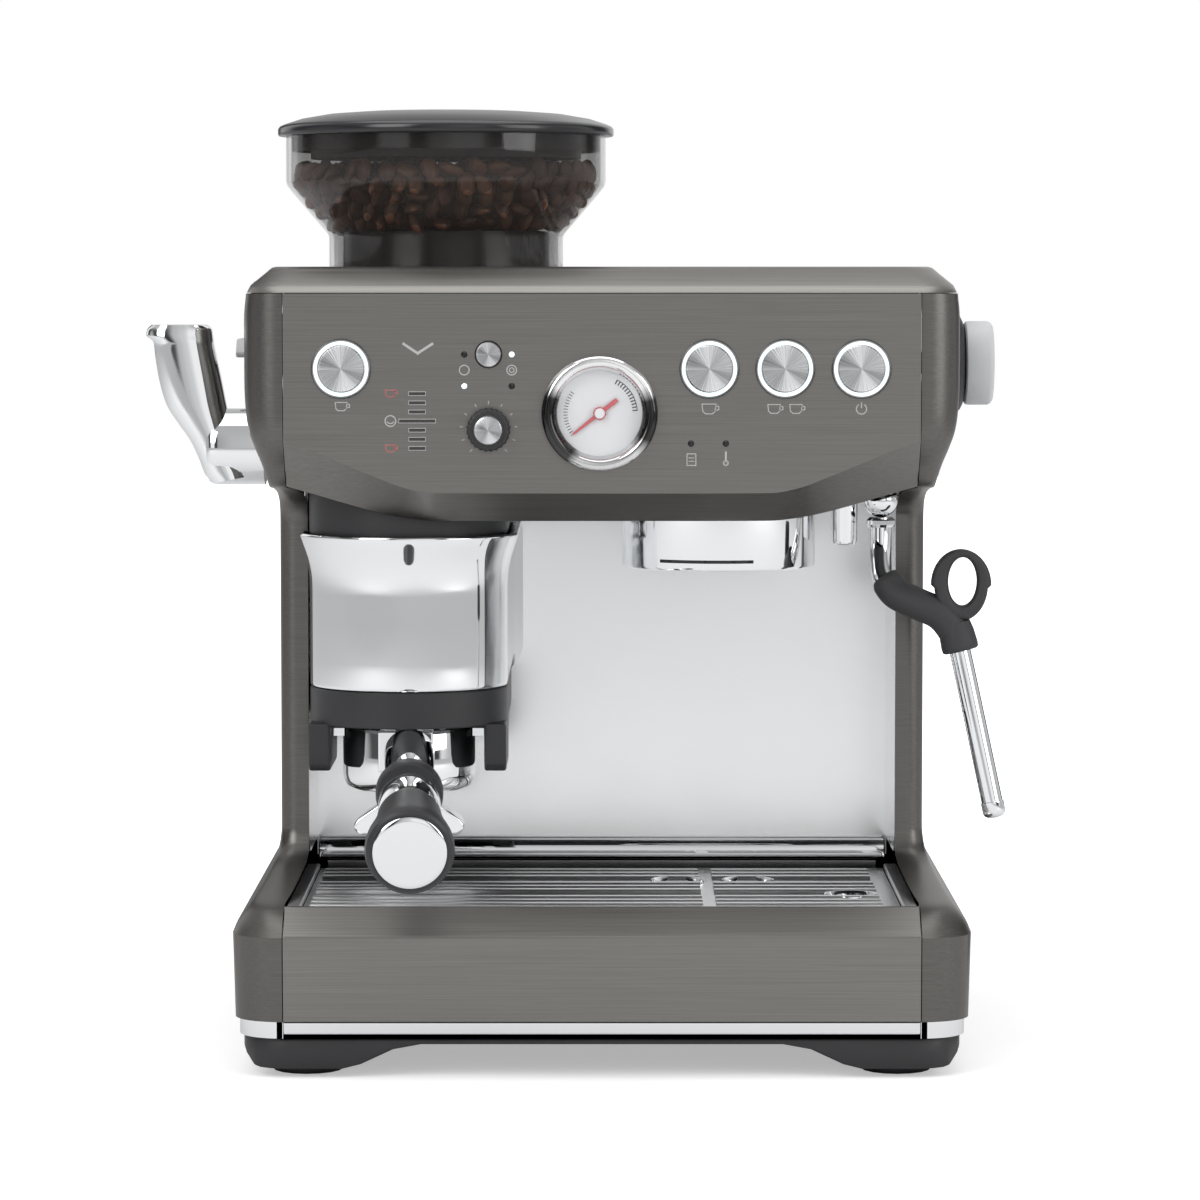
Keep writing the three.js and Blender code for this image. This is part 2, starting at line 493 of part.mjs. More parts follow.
function chassisFrame() {
  const y = SPLASH_Y + 3 + GAP;
  const wall = box(-128, 128, y, y + 2, PAN_TOP + GAP, CHASSIS_TOP);
  const flange = box(-128, 128, y, SPINE_Y - 3 - GAP, PAN_TOP + GAP, PAN_TOP + 2.5);
  const topFlange = box(-128, 128, y, SPINE_Y - 3 - GAP, CHASSIS_TOP - 2, CHASSIS_TOP);
  const deck = box(-128, 128, FASCIA_FOOT + 4, y + 1, DECK_Z, DECK_Z + 2);
  const posts = [[-120, 52], [120, 60], [-120, 170], [120, 170], [0, 60]].map(([px, py]) =>
    rodZ(UNDER_Z + 0.3 + SHEET + GAP, DECK_Z + 1, px, py, 4, 12));
  const sides = [-1, 1].map((s) => box(s * 127 - 1, s * 127 + 1, 120, y + 1, DECK_Z, CHASSIS_TOP));
  return cut(join(wall, flange, topFlange, deck, ...posts, ...sides), ...floorHoles(DECK_Z - 3, DECK_Z + 4, 1));
}

// The polished panel behind the cups, with wings beside it and a rounded rail along its foot.
function splashPanel() {
  const wing = BAY_HALF + 0.2;
  const foot = RAIL_Z - 3;
  const plate = box(-wing - 1.2, wing + 1.2, SPLASH_Y, SPLASH_Y + 3, foot, UNDER_Z - GAP);
  const wings = [-1, 1].map((s) => {
    const [a, b] = [s * wing, s * (wing + 1.2)].sort((p, q) => p - q);
    const front = COLUMN_FRONT + 3 + GAP;
    return prismX([[SPLASH_Y + 1, RAIL_Z + 6], [SPLASH_Y + 1, UNDER_Z - GAP], [front, UNDER_Z - GAP], [front, 102],
      [108, 92], [116, RAIL_Z + 6]].reverse(), a, b);
  });
  const rail = rodX(-wing + GAP, wing - GAP, SPLASH_Y - 6, RAIL_Z, RAIL_R, 20);
  const web = box(-wing + GAP, wing - GAP, SPLASH_Y - 6, SPLASH_Y + 1, RAIL_Z - 3, RAIL_Z + 3);
  return join(plate, rail, web, ...wings);
}

// ---------------------------------------------------------------- tamping station
const STATION_BACK = SPLASH_Y - GAP;
const stationRing = (half, z, back = STATION_BACK) => uPlan(TAMP_X, TAMP_Y, half, back, 16).map(([x, y]) => [x, y, z]);

function tampShroud() {
  const rows = [[SHROUD_FOOT, SHROUD_HALF - 0.8], [SHROUD_FOOT + 3, SHROUD_HALF], [210, SHROUD_HALF],
    [217, SHROUD_HALF + 0.9], [223, SHROUD_HALF + 2.7], [SHROUD_TOP - 3, SHROUD_HALF + 4.4],
    [SHROUD_TOP, SHROUD_HALF + 4.9]];
  const skin = loft(rows.map(([z, half]) => stationRing(half, z)));
  const inside = [[rows[0][0] - 1, rows[0][1]], ...rows.slice(1, -1), [SHROUD_TOP + 1, SHROUD_HALF + 4.9]];
  const hollow = loft(inside.map(([z, half]) => stationRing(half - 1.4, z, STATION_BACK + 5)));
  const flange = prismY([[-BAY_HALF, SHROUD_FOOT], [-BAY_HALF, SHROUD_TOP], [TAMP_X + 49.4, SHROUD_TOP],
    [TAMP_X + 49.4, SHROUD_FOOT + 8], [TAMP_X + SHROUD_HALF, SHROUD_FOOT]].reverse(), STATION_BACK - 3, STATION_BACK);
  const column = box(-HEAD_HALF, -BAY_HALF, 0, BACK, SHROUD_FOOT - 20, SHROUD_TOP + 5);
  return cut(join(skin, flange), hollow, column);
}

function tampHousing() {
  const half = SHROUD_HALF - 1.4 - 0.8 - GAP;
  const rows = [[CRADLE_Z, half], [SHROUD_FOOT - GAP, half], [212, half], [220, half + 2], [SHROUD_TOP + 2, half + 3],
    [UNDER_Z, half + 3]];
  const tube = cut(
    loft(rows.map(([z, h]) => stationRing(h, z, STATION_BACK - 1))),
    prismZ(uPlan(TAMP_X, TAMP_Y, half - SHEET, SPLASH_Y + 5, 16), CRADLE_Z - 5, UNDER_Z + 5),
  );
  const band = cut(
    prismZ(uPlan(TAMP_X, TAMP_Y, SHROUD_HALF, STATION_BACK - 1, 16), CRADLE_Z, SHROUD_FOOT - GAP),
    prismZ(uPlan(TAMP_X, TAMP_Y, FILTER_R + 4.5, SPLASH_Y + 5, 16), CRADLE_Z - 5, SHROUD_FOOT + 5),
  );
  const forks = [-1, 1].map((s) => {
    const [a, b] = [s * (FILTER_R + 4.5), s * SHROUD_HALF].sort((p, q) => p - q);
    return prismX([[62, CRADLE_Z + 1], [64, 130], [68, 126.4], [116, 126.4], [124, CRADLE_Z + 1]].reverse(),
      TAMP_X + a, TAMP_X + b);
  });
  // Rails under the cup's two ears.
  const rails = [-1, 1].map((s) => {
    const [a, b] = [s * (FILTER_R + 0.8), s * (FILTER_R + 6)].sort((p, q) => p - q);
    return box(TAMP_X + a, TAMP_X + b, 66, 118, EAR_Z - 4.4, EAR_Z - 2 - GAP);
  });
  return join(tube, band, ...forks, ...rails);
}

function tampPiston() {
  const foot = CRADLE_Z + 12;
  const disc = turned([[0, foot], [TAMPER_R - 1, foot], [TAMPER_R, foot + 1], [TAMPER_R, foot + 9], [12, foot + 14],
    [12, foot + 20], [0, foot + 20]]).translate([TAMP_X, TAMP_Y, 0]);
  const arm = box(TAMP_X - 8, TAMP_X + 8, BAR_BACK - 12, TAMP_Y, foot + 12, foot + 22);
  const root = BAR_BACK - 3.6;
  const pitch = (2 * Math.PI * PINION_R) / PINION_TEETH;
  const bar = [[root, 326], [BAR_BACK - 12, 326], [BAR_BACK - 12, foot + 14], [root, foot + 14]];
  for (let i = -2; i <= 5; i += 1) {
    const z = LEVER_Z + (i + 0.5) * pitch;
    bar.push([root, z - 2.15], [BAR_BACK, z - 0.7], [BAR_BACK, z + 0.7], [root, z + 2.15]);
  }
  return join(disc, arm, prismX(bar.reverse(), TAMP_X - 8.6, TAMP_X + 8.6));
}

// The lever arm is an extruded curved plate with a thumb pad, on a round hub with the pinion shaft.
const LEVER_ARM = [              // x beside the head and z over the pivot, seen from the front
  [-46.5, 54.1], [-19, 54.1], [-18, 49], [-12.5, 20.2], [-8.9, 1.2], [-5.8, -7.4], [-2.7, -10],
  [-2.7, -16.8], [-20.7, -16.8], [-23.6, -7.4], [-27, 2], [-31.5, 9], [-38.9, 17.4], [-42.8, 28.7],
  [-45.7, 42.8], [-48, 50.5],
].map(([x, z]) => [x - HEAD_HALF, z + LEVER_Z]);

function tampLever() {
  const face = -COLUMN_HALF - 5.5;
  const arm = prismY([...LEVER_ARM].reverse(), LEVER_Y - 15, LEVER_Y + 15);
  const hollow = [[-42, 48], [-25, 48], [-17.5, 11], [-29, 15], [-37, 23]].map(([x, z]) => [x - HEAD_HALF, z + LEVER_Z]);
  const pocket = prismY(hollow.reverse(), LEVER_Y - 11, LEVER_Y + 20);
  const hub = rodX(-HEAD_HALF - 23, face, LEVER_Y, LEVER_Z, 17, 24);
  const shaft = rodX(face - 1, TAMP_X + 12, LEVER_Y, LEVER_Z, 5, 16);
  const pitch = 360 / PINION_TEETH;
  const gear = [];
  const point = (r, w, sign, a) => {
    const t = THREE.MathUtils.degToRad(a) + (sign * w) / r;
    return [LEVER_Y + r * Math.cos(t), LEVER_Z + r * Math.sin(t)];
  };
  for (let i = 0; i < PINION_TEETH; i += 1) {
    const a = 180 + i * pitch;
    gear.push(point(15.6, 1.95, -1, a), point(19.4, 0.6, -1, a), point(19.4, 0.6, 1, a), point(15.6, 1.95, 1, a));
  }
  return join(cut(arm, pocket), hub, shaft, prismX(gear, TAMP_X - 8, TAMP_X + 8));
}

// ---------------------------------------------------------------- brew group
function groupHead() {
  const top = UNDER_Z - 0.2;
  const flange = DECK_Z - GAP;
  return turned([
    [GROUP_R - 7.5, GROUP_FOOT], [GROUP_R - 1.2, GROUP_FOOT], [GROUP_R, GROUP_FOOT + 1.5], [GROUP_R, top], [19.6, top],
    [19.6, flange], [6, flange], [6, GROUP_FOOT + 15], [GROUP_R - 7.5, GROUP_FOOT + 15],
  ], 28);
}

function groupGasket() {
  const z = GROUP_FOOT + 15 - GAP;
  return turned([[29, z - 6], [GROUP_R - 8, z - 6], [GROUP_R - 8, z], [29, z]], 20);
}

function showerScreen() {
  const z = GROUP_FOOT + 15 - GAP;
  const holes = Array.from({ length: 6 }, (_, i) => {
    const a = (i * Math.PI) / 3;
    return rodZ(z - 8, z + 2, 18 * Math.cos(a), 18 * Math.sin(a), 1.6, 6);
  });
  return cut(turned([[0, z - 4], [27, z - 4], [28.7, z - 2.5], [28.7, z], [3, z], [3, z - 2.6], [0, z - 2.6]], 20), ...holes);
}

function thermocoilHeater() {
  const z = DECK_Z + 2 + GAP;
  const body = turned([[5, z], [34, z], [36, z + 2], [36, z + 32], [33, z + 36], [5, z + 36]], 20);
  const ports = [-1, 1].map((s) => rodZ(z + 35, z + 42, s * 16, 0, 4, 12));
  return cut(join(body, ...ports), rodZ(z - 1, z + 30, 18, 0, 4, 10));
}

function vibrationPump() {
  const y = SPLASH_Y + 5 + 2 * GAP;
  const body = rodZ(78, 158, 60, y + 24, 18, 24);
  const ends = join(rodZ(66, 79, 60, y + 24, 9, 16), rodZ(157, 172, 60, y + 24, 6, 16));
  const bracket = join(box(38, 82, y, y + 2, 92, 144), box(52, 68, y + 1, y + 12, 100, 136));
  return join(body, ends, bracket);
}

function hotWaterSpout() {
  const top = DECK_Z - GAP;
  const tip = 225.4;
  const body = turned([[0, tip], [4.6, tip], [5.85, tip + 2], [5.85, tip + 19], [6.4, tip + 21], [6.4, UNDER_Z],
    [4.2, UNDER_Z], [4.2, top], [0, top]], 20);
  return cut(body, rodZ(tip - 1, tip + 14, 0, 0, 2.6, 10));
}

// ---------------------------------------------------------------- steam
function steamValve() {
  const body = box(WAND_X - 10, WAND_X + 1, STEAM_DIAL_Y - 12, STEAM_DIAL_Y + 12, STEAM_DIAL_Z - 14, STEAM_DIAL_Z + 14);
  const leg = rodZ(DECK_Z + 2 + GAP, STEAM_DIAL_Z - 13, WAND_X - 5, STEAM_DIAL_Y, 5, 16);
  return cut(join(body, leg), rodX(WAND_X - 6, WAND_X + 5, STEAM_DIAL_Y, STEAM_DIAL_Z, 5 + RUNNING, 16));
}

function steamDialBezel() {
  const x0 = HEAD_HALF + GAP;
  return turned([[8 + RUNNING, 0], [23, 0], [23, 1.2], [21.4, 4.4], [18.5, 6], [8 + RUNNING, 6.8]], 20)
    .rotate([0, 90, 0]).translate([x0, STEAM_DIAL_Y, STEAM_DIAL_Z]);
}

function steamDial() {
  const x0 = HEAD_HALF + GAP + 6.8 + GAP;
  const knob = turned([[0, 0], [17.8, 0], [18.75, 1], [18.75, 10.8], [17.4, 12.6], [0, 12.6]], 20);
  return knob.rotate([0, 90, 0]).translate([x0, STEAM_DIAL_Y, STEAM_DIAL_Z])
    .add(rodX(WAND_X - 4, x0 + 1, STEAM_DIAL_Y, STEAM_DIAL_Z, 5, 16));
}

// Everything of the wand is drawn about its ball's centre.
function wandSocket() {
  const lift = UNDER_Z - WAND_Z;
  return turned([[BALL_R - 0.6, 4.6], [9.4, 4.6], [10.4, 6], [10.4, lift], [9.2, lift], [9.2, lift + 3.7],
    [5.2, lift + 3.7], [5.2, lift - 1.4]], 20);
}

function wandBall() {
  return join(ball(0, 0, 0, BALL_R), rodZ(-1, 11.5, 0, 0, 4.4, 12));
}

function tube(points, radius, sides = 12, steps = 20) {
  const curve = new THREE.CatmullRomCurve3(points.map((p) => new THREE.Vector3(...p)), false, 'centripetal');
  const round = arc(0, 0, radius, 0, 360 - 360 / sides, sides - 1);
  const section = new THREE.Shape(round.map(([x, y]) => new THREE.Vector2(x, y)));
  return solid(new THREE.ExtrudeGeometry(section, { steps, bevelEnabled: false, extrudePath: curve }));
}

// The wand's tube, from the ball down, outwards through the grip, and down to its tip.
const WAND_PATH = [
  [0, 0, -BALL_R - 0.5], [0, -1, -20], [-0.2, -5, -28], [0.8, -10, -35], [6, -15, -40.5], [15, -18.5, -44.8],
  [25, -20.5, -49.5], [31.5, -21, -57.5], [34.2, -21.2, -67], [41.5, -23.6, -101], [48.9, -26, -136],
];
const GRIP_LINE = [
  [1.2, -12, -34], [6, -15, -40.5], [15, -18.5, -44.8], [25, -20.5, -49.5], [31.5, -21, -57.5], [33.8, -21.1, -65],
];

function steamWand() {
  const collar = turned([[0, -BALL_R - 4], [6, -BALL_R - 4], [6.4, -BALL_R - 1], [5, -BALL_R + 0.3],
    [0, -BALL_R + 0.3]], 16);
  const tip = WAND_PATH[WAND_PATH.length - 1];
  const nose = new THREE.SphereGeometry(WAND_R, 10, 6).translate(...tip);
  return cut(join(tube(WAND_PATH, WAND_R, 10, 22), collar, solid(nose)), ball(0, 0, 0, BALL_R + 0.75));
}

function wandGrip() {
  const sleeve = tube(GRIP_LINE, 7, 10, 10);
  const oval = (a, b, x, z) => arc(0, 0, 1, 0, 337.5, 15).map(([u, v]) => [u * a + x, v * b + z]);
  const ring = cut(prismY(oval(12.5, 14.5, 34.5, -36), -26, -16), prismY(oval(6.4, 9.6, 35, -35.5), -30, -10));
  return cut(join(sleeve, ring), tube(WAND_PATH, WAND_R + GAP, 10, 22));
}

// ---------------------------------------------------------------- portafilter
// Drawn about the cup's axis at z = 0 of the machine.
const NECK_Y = -FILTER_R - 4;
const HANDLE_Z = 136.2;

function portafilterHead() {
  const rim = CRADLE_Z - 1.2;
  const cup = turned([
    [5, FILTER_FOOT], [20, FILTER_FOOT], [26, FILTER_FOOT + 1], [FILTER_R, FILTER_FOOT + 6], [FILTER_R, rim - 0.8],
    [FILTER_R - 0.8, rim], [FILTER_R - 2.2, rim], [FILTER_R - 2.2, FILTER_FOOT + 7], [18, FILTER_FOOT + 3],
    [5, FILTER_FOOT + 3],
  ], 20);
  const ears = [-1, 1].map((s) => {
    const [a, b] = [s * (FILTER_R - 1), s * (FILTER_R + 4)].sort((p, q) => p - q);
    return box(a, b, -9, 9, EAR_Z - 2, EAR_Z + 1.4);
  });
  const block = cut(
    box(-12.1, 12.1, NECK_Y - 8, -FILTER_R + 4, 128, CRADLE_Z - 1.2),
    box(-2.2, 2.2, NECK_Y - 10, NECK_Y - 5, 133, 144),
  );
  const bore = rodZ(FILTER_FOOT + 7, CRADLE_Z + 3, 0, 0, FILTER_R - 2.2, 24);
  return join(cut(join(cup, block, ...ears), bore), handlePiece([[7.2, -2], [7.2, 50.2]]));
}

// A (radius, distance) profile turned about the handle's own sloping axis, which starts at the neck.
function handlePiece(profile) {
  const closed = [[0, profile[0][1]], ...profile, [0, profile[profile.length - 1][1]]];
  return turned(closed, 16).rotate([90, 0, 0]).rotate([HANDLE_DROOP, 0, 0]).rotate([0, 0, HANDLE_YAW])
    .translate([1.6, NECK_Y - 7, HANDLE_Z]);
}

function portafilterHandle() {
  return handlePiece([[8.5, 50.5], [11.4, 53], [14.4, 60], [14.4, 66], [11.6, 67], [11.6, 101], [13.6, 102],
    [14.4, 114], [16.6, 132], [18.2, 141], [18.5, 146.5], [17.6, 149.4], [15.6, 150.4], [15.6, 148.6]]);
}

function handleSleeve() {
  return cut(handlePiece([[13.1, 67.3], [13.1, 100.7]]), handlePiece([[11.6 + GAP, 60], [11.6 + GAP, 110]]));
}

function portafilterSpout() {
  const top = FILTER_FOOT - GAP;
  const side = [[7.5, top], [10, top - 5], [25, 101.5], [24, 99], [17.5, 96], [3, top - 9.5]];
  const outline = [...side, ...side.map(([x, z]) => [-x, z]).reverse()];
  return join(prismY(outline.reverse(), -7.5, 7.5), rodZ(top - 6, top, 0, 0, 9, 20));
}

function filterBasket() {
  const rim = CRADLE_Z - 0.9;
  const foot = FILTER_FOOT + 7.6;
  const r = FILTER_R - 2.2 - GAP;
  return turned([[0, foot], [r - 1.6, foot], [r - 0.6, foot + 2], [r - 0.2, rim], [FILTER_R + 0.6, rim],
    [FILTER_R + 0.6, rim + 0.6], [r - 1, rim + 0.6], [r - 1.4, foot + 2.2], [r - 2.2, foot + 0.9], [0, foot + 0.9]], 20);
}

// ---------------------------------------------------------------- controls
const GUIDE_Y = HEAD_FRONT + 7;

function lightGuide() {
  const plate = prismY([[-124, 324], [-124, 290], [-96, 268.6], [64, 268.6], [124, 290], [124, 324]],
    GUIDE_Y, GUIDE_Y + 1.6);
  const face = HEAD_FRONT - 0.5;
  const rings = Object.values(BUTTON_X).map((x) => rodY(face, GUIDE_Y + 1, x, BUTTON_Z, RING_R, 16));
  const bores = Object.values(BUTTON_X).map((x) => rodY(face - 1, GUIDE_Y + 5, x, BUTTON_Z, BUTTON_R + RUNNING, 16));
  const collar = rodY(HEAD_FRONT + SHEET + GAP, GUIDE_Y + 1, FILTER_X, FILTER_Z, FILTER_R_BUTTON + 1.6, 16);
  const collarBore = rodY(face, GUIDE_Y - 1, FILTER_X, FILTER_Z, FILTER_R_BUTTON + RUNNING, 16);
  const lamps = LIGHTS.map(([x, z]) => rodY(face, GUIDE_Y + 1, x, z, LIGHT_R, 6));
  const bars = METER_BARS.map(([z, w]) => box(METER_X - w, METER_X + w, face, GUIDE_Y + 1, z - 0.8, z + 0.8));
  return cut(
    join(plate, collar, ...rings, ...lamps, ...bars),
    ...bores, collarBore,
    rodY(face, GUIDE_Y + 5, FILTER_X, FILTER_Z, 4.2, 10),
    rodY(face, GUIDE_Y + 5, FILTER_X, KNOB_Z, 3.6, 10),
    rodY(face, GUIDE_Y + 5, GAUGE_X, GAUGE_Z, CAN_R + GAP, 24),
  );
}

function controlBoard() {
  const y = GUIDE_Y + 7;
  const plate = box(-120, 120, y, y + 1.6, 275, 320);
  const posts = [[-92, 315], [-28, 315], [28, 315], [94, 315]].map(([x, z]) =>
    rodY(GUIDE_Y + 1.6 + GAP, y + 1, x, z, 2.5, 8));
  const switches = Object.values(BUTTON_X).map((x) => box(x - 4, x + 4, HEAD_FRONT + 7.9, y + 1, BUTTON_Z - 4, BUTTON_Z + 4));
  const small = box(FILTER_X - 2.4, FILTER_X + 2.4, HEAD_FRONT + 7.9, y + 1, FILTER_Z - 2.4, FILTER_Z + 2.4);
  const encoder = box(FILTER_X - 7, FILTER_X + 7, GUIDE_Y + 2.2, y + 1, KNOB_Z - 7, KNOB_Z + 7);
  const relay = box(70, 96, y + 1, y + 14, 280, 296);
  return cut(
    join(plate, small, encoder, relay, ...posts, ...switches),
    rodY(y - 9, y + 5, GAUGE_X, GAUGE_Z, CAN_R + 2, 20),
    rodY(y - 9, y + 5, FILTER_X, KNOB_Z, 2.5 + RUNNING, 12),
  );
}

function roundButton(radius) {
  const back = 7.9 - GAP - PRESS;
  const profile = [[0, -2.2], [radius - 0.8, -2.2], [radius, -1.4], [radius, 4], [2.8, 4], [2.8, back], [0, back]];
  return turnedY(profile.map(([r, h]) => [r, -h]), 16);
}

function doseKnob() {
  const z = HEAD_FRONT - GAP;
  const ribs = Array.from({ length: 10 }, (_, i) => {
    const a = (i * Math.PI) / 5;
    return rodY(-4.2, -0.2, (KNOB_R - 0.8) * Math.cos(a), (KNOB_R - 0.8) * Math.sin(a), 0.8, 5);
  });
  const body = turnedY([[0, 12], [5.2, 12], [5.9, 11.2], [6.3, 4.2], [KNOB_R - 0.8, 4.2], [KNOB_R - 0.4, 0], [2.5, 0],
    [2.5, -(GUIDE_Y + 7 - z)], [0, -(GUIDE_Y + 7 - z)]], 20);
  return join(body, ...ribs);
}

function gaugeBezel() {
  const front = 6;
  const depth = GUIDE_Y + 12 - HEAD_FRONT;
  return turnedY([
    [DIAL_R + 1, front - 2.4], [GAUGE_R - 3.5, front], [GAUGE_R - 0.8, front - 1.6], [GAUGE_R, front - 4],
    [GAUGE_R, GAP], [CAN_R, GAP], [CAN_R, -depth], [2.4, -depth], [2.4, 2 - depth], [DIAL_R + 0.4, 2 - depth],
    [DIAL_R + 0.4, -2.6], [DIAL_R - 1.5, -2.6], [DIAL_R - 1.5, -1.6], [DIAL_R + 1, -1.6],
  ], 28);
}

function gaugeDial() {
  return turnedY([[1.2, -1.3], [DIAL_R + 0.7, -1.3], [DIAL_R + 0.7, -0.3], [1.2, -0.3]], 20);
}

function gaugeNeedle() {
  const pointer = prismY([[-9.6, -1], [-9.6, 1], [0, 0.9], [14, 0.45], [15.4, 0], [14, -0.45], [0, -0.9]], -1.1, -0.3);
  const hub = turnedY([[0, -1.3], [0.9, -1.3], [0.9, 0.3], [2.8, 0.3], [2.5, 1.7], [0, 1.7]], 16);
  return join(pointer, hub).rotate([0, -SCALE_START, 0]);
}

function grindSizeDial() {
  const x1 = -HEAD_HALF - GAP;
  const disc = rodX(x1 - 4, x1, 0, 0, 30, 28);
  const tab = prismX([[-36, -4.2], [-30, 4.2], [0, 4.2], [0, -4.2]], x1 - 9.6, x1 - 3);
  const shaft = rodX(x1 - 1, x1 + 24, 0, 0, 6, 16);
  return join(disc, tab, shaft);
}

// ---------------------------------------------------------------- grinder and hopper
const BURR_TOP = TOP_Z - 4.6;
function grinderMotor() {
  const z = DECK_Z + 2 + GAP;
  const can = turned([[0, z], [28, z], [30, z + 2], [30, 316], [27, 318.4], [0, 318.4]], 20);
  const feet = [-1, 1].map((s) => box(Math.min(0, s * 40), Math.max(0, s * 40), -8, 8, z, z + 3));
  return join(can, ...feet);
}

function burrCarrier() {
  const foot = 318.4 + GAP;
  const chute = cut(box(-9, 9, -66, -40, foot, foot + 14), box(-7, 7, -64, -54, foot - 2, foot + 4));
  const body = turned([[12, foot], [46, foot], [50, foot + 4], [50, BURR_TOP], [24, BURR_TOP], [22, BURR_TOP - 14],
    [26, foot + 3], [12, foot + 3]], 20);
  return cut(join(body, chute), box(-7, 7, -64, -20, foot + 3.5, foot + 11));
}

function lowerBurr() {
  const foot = 318.4 + GAP;
  const flutes = Array.from({ length: 6 }, (_, i) => {
    const a = (i * Math.PI) / 3;
    return rodZ(foot + 3, BURR_TOP, 19 * Math.cos(a), 19 * Math.sin(a), 2.4, 6);
  });
  const cone = turned([[0, foot], [9, foot], [9, foot + 3.6], [24.5, foot + 3.6], [21, foot + 10],
    [10, BURR_TOP - 5], [0, BURR_TOP - 3]], 20);
  return cut(cone, ...flutes);
}

function beanHopper() {
  const foot = BURR_TOP + GAP;
  const wall = 2.2;
  return turned([
    [20, foot], [NECK_R, foot], [NECK_R, CONE_FOOT], [HOPPER_R, CONE_TOP], [HOPPER_R, HOPPER_TOP],
    [HOPPER_R - wall, HOPPER_TOP], [HOPPER_R - wall, CONE_TOP + 0.9], [NECK_R - wall, CONE_FOOT + 1],
    [NECK_R - wall, CONE_FOOT - 9], [20, foot + 2.4],
  ], 28);
}

function hopperLid() {
  const z = HOPPER_TOP + GAP;
  return turned([
    [0, z - 0.5], [HOPPER_R - 5, z - 0.5], [HOPPER_R - 5, z - 7], [HOPPER_R - 2.8, z - 7], [HOPPER_R - 2.8, z],
    [HOPPER_R + 3.4, z],
    [HOPPER_R + 3.6, z + 3.4], [HOPPER_R + 2, z + 5], [64, z + 8.8], [38, z + 11], [0, z + 11.7],
  ], 28);
}

// ---------------------------------------------------------------- water tank
const TANK_WALL = 2.2;
const TANK_FRONT = SPINE_Y + 2;
function waterTank() {
  const [y0, y1] = [TANK_FRONT, BACK];
  const plan = (inset, r) => roundRect(-TANK_HALF + inset, TANK_HALF - inset, y0 + inset, y1 - inset, r, 5);
  const foot = SHELF_Z + GAP;
  return cut(prismZ(plan(0, 16), foot, TANK_TOP), prismZ(plan(TANK_WALL, 14), foot + TANK_WALL, TANK_TOP + 3));
}

function tankLid() {
  const [y0, y1] = [TANK_FRONT, BACK];
  const z = TANK_TOP + GAP;
  const cover = loft([[z, 0], [z + 5, 0], [z + 7, 3]].map(([h, inset]) =>
    roundRect(-TANK_HALF + inset, TANK_HALF - inset, y0 + inset, y1 - inset, 14, 5).map(([x, y]) => [x, y, h])));
  const finger = box(-40, 40, y0 + 18, y0 + 40, z + 3, z + 9);
  const rim = cut(prismZ(roundRect(-TANK_HALF + 3, TANK_HALF - 3, y0 + 3, y1 - 3, 12, 5), z - 4, z + 1),
    prismZ(roundRect(-TANK_HALF + 5, TANK_HALF - 5, y0 + 5, y1 - 5, 10, 5), z - 5, z));
  return cut(join(cover, rim), finger);
}

function cordGland() {
  return turnedY([[3.8, -6], [GLAND_R, -6], [GLAND_R, 3], [10, 3 + GAP], [10, 6], [7, 9], [3.8, 9]], 20).rotate([0, 0, 180]);
}

// ---------------------------------------------------------------- assembly
const machine = new THREE.Group();
const add = (...meshes) => machine.add(...meshes);

add(piece('base_pan', basePan(), BLACK_PLASTIC));
[['front_left', -1, 0], ['front_right', 1, 0], ['rear_left', -1, 1], ['rear_right', 1, 1]].forEach(([where, side, row]) =>
  add(piece(`foot_${where}`, foot(), RUBBER, side * FOOT_X, FOOT_Y[row])));
add(
  piece('base_trim', baseTrim(), CHROME),
  piece('side_panel_left', sidePanelLeft(), DARK_STEEL),
  piece('side_panel_right', sidePanelRight(), DARK_STEEL),
  piece('front_fascia', frontFascia(), DARK_STEEL),
  piece('top_cover', topCover(), DARK_STEEL),
  piece('cup_warming_tray', cupWarmingTray(), STEEL),
  piece('rear_cover', rearCover(), BLACK_PLASTIC),
  piece('head_underside', headUnderside(), BLACK_PLASTIC),
  piece('chassis_frame', chassisFrame(), STEEL),
  piece('splash_panel', splashPanel(), CHROME),
  piece('cord_gland', cordGland(), RUBBER, 118, BACK - 5.5, 48),
);
add(
  piece('drip_tray_tub', dripTrayTub(), BLACK_PLASTIC),
  piece('drip_tray_front', dripTrayFront(), DARK_STEEL),
  piece('drip_grid', dripGrid(), CHROME),
);
add(
  piece('tamp_shroud', tampShroud(), CHROME),
  piece('tamp_housing', tampHousing(), BLACK_PLASTIC),
  piece('tamp_piston', tampPiston(), STEEL),
  piece('tamp_lever', tampLever(), CHROME),
);
add(
  piece('group_head', groupHead(), CHROME, BREW_X, BREW_Y),
  piece('group_gasket', groupGasket(), RUBBER, BREW_X, BREW_Y),
  piece('shower_screen', showerScreen(), STEEL, BREW_X, BREW_Y),
  piece('thermocoil_heater', thermocoilHeater(), STEEL, BREW_X, BREW_Y),
  piece('vibration_pump', vibrationPump(), BRASS),
  piece('hot_water_spout', hotWaterSpout(), CHROME, SPOUT_X, SPOUT_Y),
);
add(
  piece('steam_valve', steamValve(), BRASS),
  piece('steam_dial_bezel', steamDialBezel(), BLACK_PLASTIC),
  piece('steam_dial', steamDial(), GREY_PLASTIC),
  piece('wand_socket', wandSocket(), CHROME, WAND_X, WAND_Y, WAND_Z),
  piece('wand_ball', wandBall(), CHROME, WAND_X, WAND_Y, WAND_Z),
  piece('steam_wand', steamWand(), CHROME, WAND_X, WAND_Y, WAND_Z),
  piece('wand_grip', wandGrip(), RUBBER, WAND_X, WAND_Y, WAND_Z),
);
